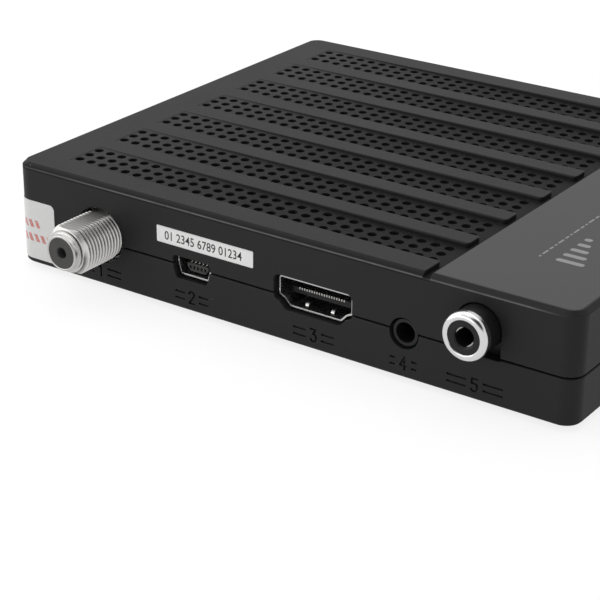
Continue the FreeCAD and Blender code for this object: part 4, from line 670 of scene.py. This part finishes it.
def capacitor_can(sheet, case):
    """Dark sleeve round a can whose top stays bare aluminium."""
    place = sheet.place()
    bare = sheet.parts(place)[2] > CAN_TOP - CAN_LIP
    cloud = sheet.noise(place, size=1.5)
    sleeve = sheet.tinted(cloud, (0.014, 0.016, 0.030, 1), (0.022, 0.024, 0.045, 1))
    sheet.surface(
        Base_Color=sheet.tinted(bare, sleeve, (0.62, 0.62, 0.63, 1)),
        Metallic=bare,
        Roughness=(0.30 + cloud.swing(0.15)).clamped(),
    )


# ---- Inks --------------------------------------------------------------------------
def ink(sheet, shade, patchiness):
    """Printed ink with slightly uneven cover."""
    place = sheet.place()
    cover = sheet.noise(place, size=0.3, detail=3.0)
    sheet.surface(
        Base_Color=sheet.tinted(cover * patchiness, rgba(shade), scaled(shade, 0.7)),
        Roughness=(0.45 + cover.swing(0.1)).clamped(),
        Specular_IOR_Level=0.3,
    )


def by_slot(*finishes):
    """Finish functions under their own names, which are the record's slots."""
    return {finish.__name__: finish for finish in finishes}


CASE_FINISHES = by_slot(case_plastic, trim_plastic, key_plastic, window_smoke, label_white, seal_white,
                        foot_rubber, screw_steel)
SOCKET_FINISHES = by_slot(nickel_plate, ring_chrome, shell_tin, contact_tin, grey_insulator,
                          black_insulator)
CIRCUIT_FINISHES = by_slot(board_laminate, chip_epoxy, pad_grey, plunger_plastic, segment_lens,
                           lamp_lens, sink_aluminium, capacitor_can)


def make_finish(name, build, *settings):
    """A material whose nodes come from one finish function."""
    material = bpy.data.materials.new(name)
    material.use_nodes = True
    build(Sheet(material.node_tree), *settings)
    return material


def give_finishes(finishes, case):
    """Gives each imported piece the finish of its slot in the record."""
    made = {slot: make_finish(slot, build, case) for slot, build in finishes.items()}
    for part in frame["record"]["subparts"]:
        if part["material_slot"] in made:
            for slot in frame["nodes"][part["node"]].material_slots:
                slot.material = made[part["material_slot"]]


# ---- Surfaces ----------------------------------------------------------------------
def sweep(rings, closed=False):
    """A closed profile carried along a path: rings[i, j] is profile point j at station i.

    Each face joins neighbouring points of neighbouring rings.  A closed path joins its last
    ring to its first, and an open one gets a flat face at each end.  Returns points and faces.
    """
    stations, around = rings.shape[:2]
    index = np.arange(stations * around).reshape(stations, around)
    ahead = np.roll(index, -1, axis=0)
    if not closed:
        index = index[:-1]
        ahead = ahead[:-1]
    quads = np.stack([index, np.roll(index, -1, axis=1), np.roll(ahead, -1, axis=1), ahead], axis=-1)
    faces = quads.reshape(-1, 4).tolist()
    if not closed:
        faces.append(index[0, ::-1].tolist())
        faces.append(ahead[-1].tolist())
    points = rings.reshape(-1, 3)
    if enclosed(points, quads.reshape(-1, 4)) < 0:
        faces = [face[::-1] for face in faces]
    return points, faces


def enclosed(points, quads):
    """Signed volume of the sides about their middle: a third of area times height, summed."""
    corners = points[quads] - points.mean(axis=0)
    first = np.cross(corners[:, 1] - corners[:, 0], corners[:, 2] - corners[:, 0])
    second = np.cross(corners[:, 2] - corners[:, 0], corners[:, 3] - corners[:, 0])
    return float(((first + second) * corners[:, 0]).sum()) / 6


def new_object(name, data):
    """An object that holds some data, in the scene."""
    made = bpy.data.objects.new(name, data)
    bpy.context.scene.collection.objects.link(made)
    return made


def add_piece(name, solids, material, body="case"):
    """One mesh object from several solids (points in mm, faces), riding on a body."""
    points = []
    faces = []
    count = 0
    for solid_points, solid_faces in solids:
        points.append(solid_points * MM)
        faces += [[corner + count for corner in face] for face in solid_faces]
        count += len(solid_points)
    mesh = bpy.data.meshes.new(name)
    mesh.from_pydata(np.concatenate(points).tolist(), [], faces)
    mesh.materials.append(material)
    piece = new_object(name, mesh)
    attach(piece, body)
    return piece


def plate(outline, low, high, onto):
    """A flat plate: an outline (u, v) at two heights, taken onto the object."""
    u, v = outline.T
    return sweep(np.stack([onto(u, v, np.full(len(u), height)) for height in (low, high)]))


def rounded_bar(centre, width, height, radius, around=24):
    """Outline of a bar: each corner's centre plus a radius that turns with the angle."""
    angle = (np.arange(around) + 0.5) * 2 * math.pi / around
    turn = np.stack([np.cos(angle), np.sin(angle)], axis=1)
    corner = np.sign(turn) * (np.array([width, height]) / 2 - radius)
    return np.array(centre) + corner + turn * radius


def arc_band(centre, radius, width, start, stop, steps=32):
    """Outline of a curved band: the outer arc forward, then the inner arc back."""
    angle = np.linspace(start, stop, steps)
    turn = np.stack([np.cos(angle), np.sin(angle)], axis=1)
    outer = turn * (radius + width / 2)
    inner = turn[::-1] * (radius - width / 2)
    return np.array(centre) + np.concatenate([outer, inner])


def chevron(centre, width, height, line, up):
    """Outline of an angle mark: its outer corner line forward, then the inner one back."""
    reach = width / 2
    upper = np.array([[-reach, 0.0], [0.0, height], [reach, 0.0]])
    lower = upper[::-1] - np.array([0.0, line])
    outline = np.concatenate([upper, lower]) - np.array([0.0, (height - line) / 2])
    return np.array(centre) + outline * np.array([1.0, up])


# ---- Threaded barrel ---------------------------------------------------------------
# Places along the barrel are distances from its tip; lengths are in mm.
CONE_START = 1.53  # where the cone leaves the gap behind the collar
CONE_END = 2.15  # where it has reached the crests
THREAD_BEHIND = 1.45  # nothing before this is cut
BORE_FLARE = 0.08  # where the bore narrows to the core
CONE_STEP = 0.32  # how far the cone's foot stands out over the collar
STATIONS_PER_PITCH = 16
PLAIN_POINTS = 4  # points of the blank's plain end and bore
# The first turn's groove fades in as the angle falls below one of these, over the other.
FADE_ANGLE = 0.35
FADE_SPAN = 0.5
# Shares of half a pitch: from a ridge's middle to the end of its foot, and over its side.
RIDGE_FOOT = 0.97
RIDGE_SIDE = 0.85
FLAT_MARGIN = 0.02  # how much a flat cuts away before its finish is all brushed
# Metal behind the collar made darker and rougher: places, and how much.
DULL_PLACES = (1.4, 1.6, 2.3)
DULL_LEVELS = (0.34, 0.18, 0.0)


def barrel_blank(thread, length_mm):
    """Distances from the tip and radii of the turned blank, before its thread is cut.

    Rolled tip, plain neck, low collar, narrow gap, then a steep cone up to the crest radius.
    """
    neck = thread.neck
    collar = thread.collar
    gap = neck - 0.12
    root = thread.crest - thread.depth - 0.02
    thread_end = length_mm - thread.spigot
    tip = [(0.05, thread.core + 0.02), (0.0, thread.core + 0.07),
           (0.0, neck - 0.20), (0.015, neck - 0.12), (0.06, neck - 0.06), (0.12, neck - 0.02),
           (0.20, neck), (0.98, neck), (1.0, neck + 0.02),
           (1.0, collar - 0.10), (1.03, collar - 0.03), (1.10, collar), (1.25, collar),
           (1.29, collar - 0.03), (1.30, collar - 0.08),
           (1.32, gap), (1.46, gap), (1.48, collar + 0.20), (1.50, collar + 0.28)]
    run = np.arange(CONE_START, thread_end, thread.pitch / STATIONS_PER_PITCH)
    foot = collar + CONE_STEP
    cone = foot + (run - CONE_START) * (thread.crest - foot) / (CONE_END - CONE_START)
    body = np.stack([run, np.minimum(cone, thread.crest)], axis=1)
    plain_end = [(thread_end, root), (length_mm, root), (length_mm, thread.core), (BORE_FLARE, thread.core)]
    return np.concatenate([np.array(tip), body, np.array(plain_end)])


def barrel_rings(thread):
    """Rings of the barrel, one for each angle of a turn, and how sunk and how flat each point is.

    The radius is the blank's less the groove.  The groove's phase is distance over pitch plus
    angle over a full turn, so the right-handed thread advances one pitch a turn; its depth
    follows a triangle with rounded corners.  The first turn fades in on the right side.  No
    point passes the flats.
    """
    blank = barrel_blank(thread, BARREL_HIGH[1] - BARREL_LOW[1])
    along, radius = blank[None, :, 0], blank[None, :, 1]
    angle = (np.arange(thread.turns) * 2 * math.pi / thread.turns - math.pi)[:, None]
    phase = (along - thread.start) / thread.pitch + angle / (2 * math.pi)
    turn = np.floor(phase + 0.5)
    begun = np.clip((FADE_ANGLE - angle) / FADE_SPAN, 0, 1)
    cut = np.where(turn > 0, 1.0, np.where(turn == 0, begun, 0.0)) * (along > THREAD_BEHIND)
    ridge = np.clip((RIDGE_FOOT - np.abs(2 * (phase % 1.0) - 1)) / RIDGE_SIDE, 0, 1)
    ridge = 0.5 * ridge + 0.5 * (3 * ridge ** 2 - 2 * ridge ** 3)
    groove = (1 - ridge) * cut
    groove[:, -PLAIN_POINTS:] = 0.0
    whole = radius - thread.depth * groove
    limit = thread.flat / np.maximum(np.abs(np.sin(angle)), 1e-6)
    level = np.clip((whole - limit) / FLAT_MARGIN, 0, 1)
    level[:, -PLAIN_POINTS:] = 0.0
    reach = np.minimum(whole, limit)
    reach[:, -PLAIN_POINTS:] = whole[:, -PLAIN_POINTS:]
    rings = np.empty(reach.shape + (3,))
    rings[..., 0] = BARREL_MIDDLE[0] + reach * np.cos(angle)
    rings[..., 1] = BARREL_LOW[1] + along
    rings[..., 2] = BARREL_MIDDLE[2] + reach * np.sin(angle)
    dull = np.interp(along, DULL_PLACES, DULL_LEVELS)
    # The sunk value darkens the finish: painted shade in the grooves, darker and rougher metal behind the
    # collar.
    return rings, np.maximum(groove * (1 - 0.7 * level), dull), level


class RECEIVER_OT_case_finish(bpy.types.Operator):
    """Give the shells, plate, labels, feet, keys and screws their finishes."""

    bl_idname = "receiver.case_finish"
    bl_label = "Case finishes"

    def execute(self, context):
        give_finishes(CASE_FINISHES, context.scene.receiver_case)
        return {"FINISHED"}


class RECEIVER_OT_socket_finish(bpy.types.Operator):
    """Give the sockets' metal and moulded blocks their finishes."""

    bl_idname = "receiver.socket_finish"
    bl_label = "Socket finishes"

    def execute(self, context):
        give_finishes(SOCKET_FINISHES, context.scene.receiver_case)
        return {"FINISHED"}


class RECEIVER_OT_circuit_finish(bpy.types.Operator):
    """Give the board and its components their finishes."""

    bl_idname = "receiver.circuit_finish"
    bl_label = "Circuit finishes"

    def execute(self, context):
        give_finishes(CIRCUIT_FINISHES, context.scene.receiver_case)
        return {"FINISHED"}


class RECEIVER_OT_aerial_thread(bpy.types.Operator):
    """Cut the helical thread of the aerial connector."""

    bl_idname = "receiver.aerial_thread"
    bl_label = "Aerial thread"

    def execute(self, context):
        rings, sunk, level = barrel_rings(context.scene.receiver_thread)
        material = frame["nodes"]["aerial_barrel"].active_material
        barrel = add_piece("aerial_thread", [sweep(rings, closed=True)], material)
        for name, values in (("sunk", sunk), ("level", level)):
            barrel.data.attributes.new(name, "FLOAT", "POINT").data.foreach_set("value", values.ravel())
        barrel.data.shade_smooth()
        barrel.data.set_sharp_from_angle(angle=math.radians(50))
        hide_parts("aerial_barrel")
        return {"FINISHED"}


# ---- Printed marks -----------------------------------------------------------------
DIGIT_BOLDNESS = 0.008  # how far the digits' outlines are moved outwards, as a share of their size
DIGIT_SHIFT = -0.3  # the row's middle from the label's, in mm


def label_digits(prints):
    """Flat digits on the port face, fitted to the height and length of the row."""
    curve = bpy.data.curves.new("label_digits", "FONT")
    curve.body = prints.digits
    curve.resolution_u = 4
    curve.extrude = 0.5
    curve.offset = DIGIT_BOLDNESS
    writer = new_object("label_writer", curve)
    bpy.context.view_layer.update()
    mesh = bpy.data.meshes.new_from_object(writer)
    bpy.data.objects.remove(writer)
    points = np.empty(len(mesh.vertices) * 3)
    mesh.vertices.foreach_get("co", points)
    points = points.reshape(-1, 3)
    low, high = points.min(axis=0), points.max(axis=0)
    share = (points - low) / (high - low)
    placed = np.empty_like(points)
    placed[:, 0] = LABEL_MIDDLE[0] + DIGIT_SHIFT + (share[:, 0] - 0.5) * prints.digit_line
    placed[:, 1] = LABEL_LOW[1] - share[:, 2] * prints.film
    placed[:, 2] = LABEL_MIDDLE[2] + (share[:, 1] - 0.5) * prints.digit_height
    mesh.vertices.foreach_set("co", (placed * MM).ravel())
    mesh.update()
    return mesh


class RECEIVER_OT_label_print(bpy.types.Operator):
    """Print plain digits on the label."""

    bl_idname = "receiver.label_print"
    bl_label = "Label print"

    def execute(self, context):
        prints = context.scene.receiver_print
        mesh = label_digits(prints)
        mesh.materials.clear()
        mesh.materials.append(make_finish("label_ink", ink, prints.label_ink, 0.5))
        piece = new_object("label_digits", mesh)
        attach(piece, "case")
        return {"FINISHED"}


# Marks on the plate, in mm: u runs along it from the port side, v across it from its left edge.
BAR_HEIGHTS = (5.0, 4.1, 3.2, 2.3, 1.4)
BAR_WIDTH = 1.15
BAR_PITCH = 2.5
BAR_ROUNDING = 0.5
FALLING_U = 16.2
RISING_U = 44.0
FOOT_V = 13.2  # the line that all marks but the dashes stand on
DOT = 1.3
DOT_CENTRE = (34.0, FOOT_V + 0.6)
WAVES = 3
WAVE_RADIUS = 1.7
WAVE_STEP = 1.55
WAVE_LINE = 0.8
WAVE_START = math.radians(12)
WAVE_STOP = math.radians(98)
DASHES = 22
DASH_LENGTHS = (0.7, 1.9, 1.2)
DASH_GAP = 0.55
DASH_LINE = 0.34
DASH_U = 15.5
DASH_V = FOOT_V - 2.75


def bar_row(start, heights):
    """Outlines of a row of bars that stand on one line."""
    return [rounded_bar((start + i * BAR_PITCH, FOOT_V + tall / 2), BAR_WIDTH, tall, BAR_ROUNDING)
            for i, tall in enumerate(heights)]


def trim_marks():
    """Outlines of the plate's print: falling bars, a dot with waves, rising bars, a dashed line."""
    waves = [arc_band(DOT_CENTRE, WAVE_RADIUS + i * WAVE_STEP, WAVE_LINE, WAVE_START, WAVE_STOP)
             for i in range(WAVES)]
    dot = [rounded_bar(DOT_CENTRE, DOT, DOT, radius=0.64)]
    dashes = []
    start = DASH_U
    for i in range(DASHES):
        long = DASH_LENGTHS[i % len(DASH_LENGTHS)]
        dashes.append(rounded_bar((start + long / 2, DASH_V), long, DASH_LINE, radius=0.16))
        start += long + DASH_GAP
    return bar_row(FALLING_U, BAR_HEIGHTS) + waves + dot + bar_row(RISING_U, BAR_HEIGHTS[::-1]) + dashes


class RECEIVER_OT_trim_print(bpy.types.Operator):
    """Print the plain bars and waves on the top plate."""

    bl_idname = "receiver.trim_print"
    bl_label = "Plate print"

    def execute(self, context):
        prints = context.scene.receiver_print

        def onto(u, v, height):
            return np.stack([TRIM_LOW[0] + v, TRIM_LOW[1] + u, TRIM_HIGH[2] + height], axis=1)

        material = make_finish("trim_ink", ink, prints.trim_ink, 0.3)
        solids = [plate(outline, 0.0, prints.film, onto) for outline in trim_marks()]
        add_piece("trim_print", solids, material)
        return {"FINISHED"}


# Marks on the keys, in mm.
RING_RADIUS = 0.62
RING_LINE = 0.2
RING_START = math.radians(130)
RING_STOP = math.radians(410)
STALK = 0.75
ANGLE_WIDTH = 1.9
ANGLE_HEIGHT = 0.75
ANGLE_LINE = 0.26


def key_mark(key):
    """Outlines of one key's mark, about its middle: a broken ring with a stalk, or an angle."""
    if key == "standby_key":
        ring = arc_band((0.0, -0.05), RING_RADIUS, RING_LINE, RING_START, RING_STOP)
        return [ring, rounded_bar((0.0, 0.5), RING_LINE, STALK, radius=0.09)]
    up = 1.0 if key == "channel_up_key" else -1.0
    return [chevron((0.0, 0.0), ANGLE_WIDTH, ANGLE_HEIGHT, ANGLE_LINE, up)]


class RECEIVER_OT_key_print(bpy.types.Operator):
    """Print the marks on the three keys."""

    bl_idname = "receiver.key_print"
    bl_label = "Key print"

    def execute(self, context):
        prints = context.scene.receiver_print
        material = make_finish("key_ink", ink, prints.trim_ink, 0.3)
        for key in ("standby_key", "channel_up_key", "channel_down_key"):
            _, middle, high = node_box(key)

            def onto(u, v, height):
                return np.stack([middle[0] - u, high[1] + height, middle[2] + v], axis=1)

            solids = [plate(outline, 0.0, prints.film, onto) for outline in key_mark(key)]
            add_piece(key.replace("key", "mark"), solids, material, key)
        return {"FINISHED"}


# ---- Stage -------------------------------------------------------------------------
WHITE = (1.0, 1.0, 1.0, 1.0)
FLOOR_HALF = 4.0  # half the floor's side, in m
SENSOR = 36.0  # width of the camera's sensor, in mm
# The floor as the eye and gloss see it: its own glow, how much less it glows in gloss than the
# world, and the share of light that it scatters, which keeps the shadow.
FLOOR_GLOW = 0.82
FLOOR_GLOSS_DROP = 0.18
FLOOR_SCATTER = 0.24
# Where the world steps back in gloss: direction, cosines where the step starts and is whole,
# and how far it steps back.
STEPS_BACK = (
    ((-0.86, -0.33, 0.39), 0.75, 0.95, 0.3),  # behind the left lamp
    ((-0.3, 0.2, 0.93), 0.82, 0.94, 0.25),  # behind the top lamp
    ((0.42, -0.48, 0.77), 0.78, 0.90, 0.68),  # at the upper right
)
# Name, direction from the object, distance and size in m, and the setting with its power.
LAMPS = (
    ("top_lamp", (-0.22, 0.12, 1.0), 0.85, (1.2, 1.2), "top_watts"),
    ("left_lamp", (-0.88, -0.30, 0.37), 0.5, (0.56, 0.5), "left_watts"),
    ("low_lamp", (-0.52, -0.825, 0.24), 0.8, (0.8, 0.3), "low_watts"),
)


def seen_straight(sheet):
    """Masks of the rays from the eye or through glass, and of those by way of gloss."""
    path = sheet.node("ShaderNodeLightPath", output="Is Camera Ray")
    return (path + path.output("Is Transmission Ray")).clamped(), path.output("Is Glossy Ray")


def floor_finish(sheet, stage):
    """Pale floor that looks white to the eye and still holds a soft shadow."""
    eye, glossy = seen_straight(sheet)
    glow = eye * FLOOR_GLOW + glossy * (stage.gloss - FLOOR_GLOSS_DROP)
    dull = sheet.node("ShaderNodeBsdfDiffuse", {}, {"Color": rgba(stage.floor)})
    faint = sheet.node("ShaderNodeBsdfDiffuse", {}, {"Color": scaled(WHITE[:3], FLOOR_SCATTER)})
    shine = sheet.node("ShaderNodeEmission", {}, {"Color": WHITE, "Strength": glow})
    white = sheet.node("ShaderNodeAddShader", {}, {0: faint, 1: shine})
    shader = sheet.node("ShaderNodeMixShader", {}, {0: (eye + glossy).clamped(), 1: dull, 2: white})
    sheet.node("ShaderNodeOutputMaterial", {}, {"Surface": shader})


def white_world(stage):
    """World that is white to the eye, pale in reflections, and lights dull surfaces gently.

    In reflections it steps back behind two lamps and at the upper right.
    """
    world = bpy.data.worlds.new("studio")
    world.use_nodes = True
    sheet = Sheet(world.node_tree)
    eye, glossy = seen_straight(sheet)
    towards = sheet.node("ShaderNodeTexCoord", output="Generated")
    shown = stage.gloss
    for direction, start, stop, amount in STEPS_BACK:
        shown = shown - sheet.facing(towards, direction, start, stop) * amount
    strength = stage.ambient + eye * (1 - stage.ambient) + glossy * (shown - stage.ambient)
    back = sheet.node("ShaderNodeBackground", {}, {"Color": WHITE, "Strength": strength})
    sheet.node("ShaderNodeOutputWorld", {}, {"Surface": back})
    bpy.context.scene.world = world


def soft_lamp(name, direction, distance, size, watts):
    """A soft rectangular lamp that faces the middle of the object."""
    light = bpy.data.lights.new(name, "AREA")
    light.shape = "RECTANGLE"
    light.size, light.size_y = size
    light.energy = watts
    lamp = new_object(name, light)
    away = Vector(direction).normalized()
    lamp.location = away * distance
    lamp.rotation_mode = "QUATERNION"
    lamp.rotation_quaternion = (-away).to_track_quat("-Z", "Y")
    lamp.visible_camera = False


class RECEIVER_OT_stage(bpy.types.Operator):
    """Set the floor, the world and the lamps."""

    bl_idname = "receiver.stage"
    bl_label = "Stage"

    def execute(self, context):
        stage = context.scene.receiver_stage
        mesh = bpy.data.meshes.new("floor")
        corners = [(x * FLOOR_HALF, y * FLOOR_HALF, 0.0) for x, y in ((-1, -1), (1, -1), (1, 1), (-1, 1))]
        mesh.from_pydata(corners, [], [(0, 1, 2, 3)])
        mesh.materials.append(make_finish("pale_floor", floor_finish, stage))
        floor = new_object("floor", mesh)
        white_world(stage)
        for name, direction, distance, size, watts in LAMPS:
            soft_lamp(name, direction, distance, size, getattr(stage, watts))
        context.scene.view_settings.view_transform = "Standard"
        return {"FINISHED"}


class RECEIVER_OT_camera(bpy.types.Operator):
    """Set the camera at its viewing angle."""

    bl_idname = "receiver.camera"
    bl_label = "Camera"

    def execute(self, context):
        stage = context.scene.receiver_stage
        right = Vector((math.cos(stage.azimuth), math.sin(stage.azimuth), 0.0))
        level = math.cos(stage.elevation)
        back = Vector((math.sin(stage.azimuth) * level, -math.cos(stage.azimuth) * level,
                       math.sin(stage.elevation)))
        rise = back.cross(right)
        across = right * math.cos(stage.roll) + rise * math.sin(stage.roll)
        upward = rise * math.cos(stage.roll) - right * math.sin(stage.roll)
        lens = bpy.data.cameras.new("camera")
        lens.lens = stage.lens
        lens.sensor_width = SENSOR
        lens.clip_start = 0.01
        camera = new_object("camera", lens)
        spot = (Vector(stage.target) + back * stage.distance) * MM
        turn = Matrix((across, upward, back)).transposed().to_4x4()
        camera.matrix_world = Matrix.Translation(spot) @ turn
        context.scene.camera = camera
        return {"FINISHED"}


# ---- Add-on ------------------------------------------------------------------------
OPERATORS = (
    RECEIVER_OT_case_finish,
    RECEIVER_OT_socket_finish,
    RECEIVER_OT_circuit_finish,
    RECEIVER_OT_aerial_thread,
    RECEIVER_OT_label_print,
    RECEIVER_OT_trim_print,
    RECEIVER_OT_key_print,
    RECEIVER_OT_stage,
    RECEIVER_OT_camera,
)
SETTINGS = {
    "receiver_case": ReceiverCaseSettings,
    "receiver_thread": ReceiverThreadSettings,
    "receiver_print": ReceiverPrintSettings,
    "receiver_stage": ReceiverStageSettings,
}


class RECEIVER_PT_sidebar(bpy.types.Panel):
    """The receiver's operators in the 3D view's sidebar."""

    bl_label = "Receiver"
    bl_idname = "RECEIVER_PT_sidebar"
    bl_space_type = "VIEW_3D"
    bl_region_type = "UI"
    bl_category = "Receiver"

    def draw(self, context):
        for operator in OPERATORS:
            self.layout.operator(operator.bl_idname)


def register():
    """Registers the settings, operators and panel."""
    for name, group in SETTINGS.items():
        bpy.utils.register_class(group)
        setattr(bpy.types.Scene, name, PointerProperty(type=group))
    for operator in OPERATORS:
        bpy.utils.register_class(operator)
    bpy.utils.register_class(RECEIVER_PT_sidebar)


def unregister():
    """Removes them again."""
    bpy.utils.unregister_class(RECEIVER_PT_sidebar)
    for operator in reversed(OPERATORS):
        bpy.utils.unregister_class(operator)
    for name, group in SETTINGS.items():
        delattr(bpy.types.Scene, name)
        bpy.utils.unregister_class(group)


def main():
    """Runs every operator in order."""
    register()
    for operator in OPERATORS:
        group, action = operator.bl_idname.split(".")
        getattr(getattr(bpy.ops, group), action)()


if __name__ == "__main__":
    main()
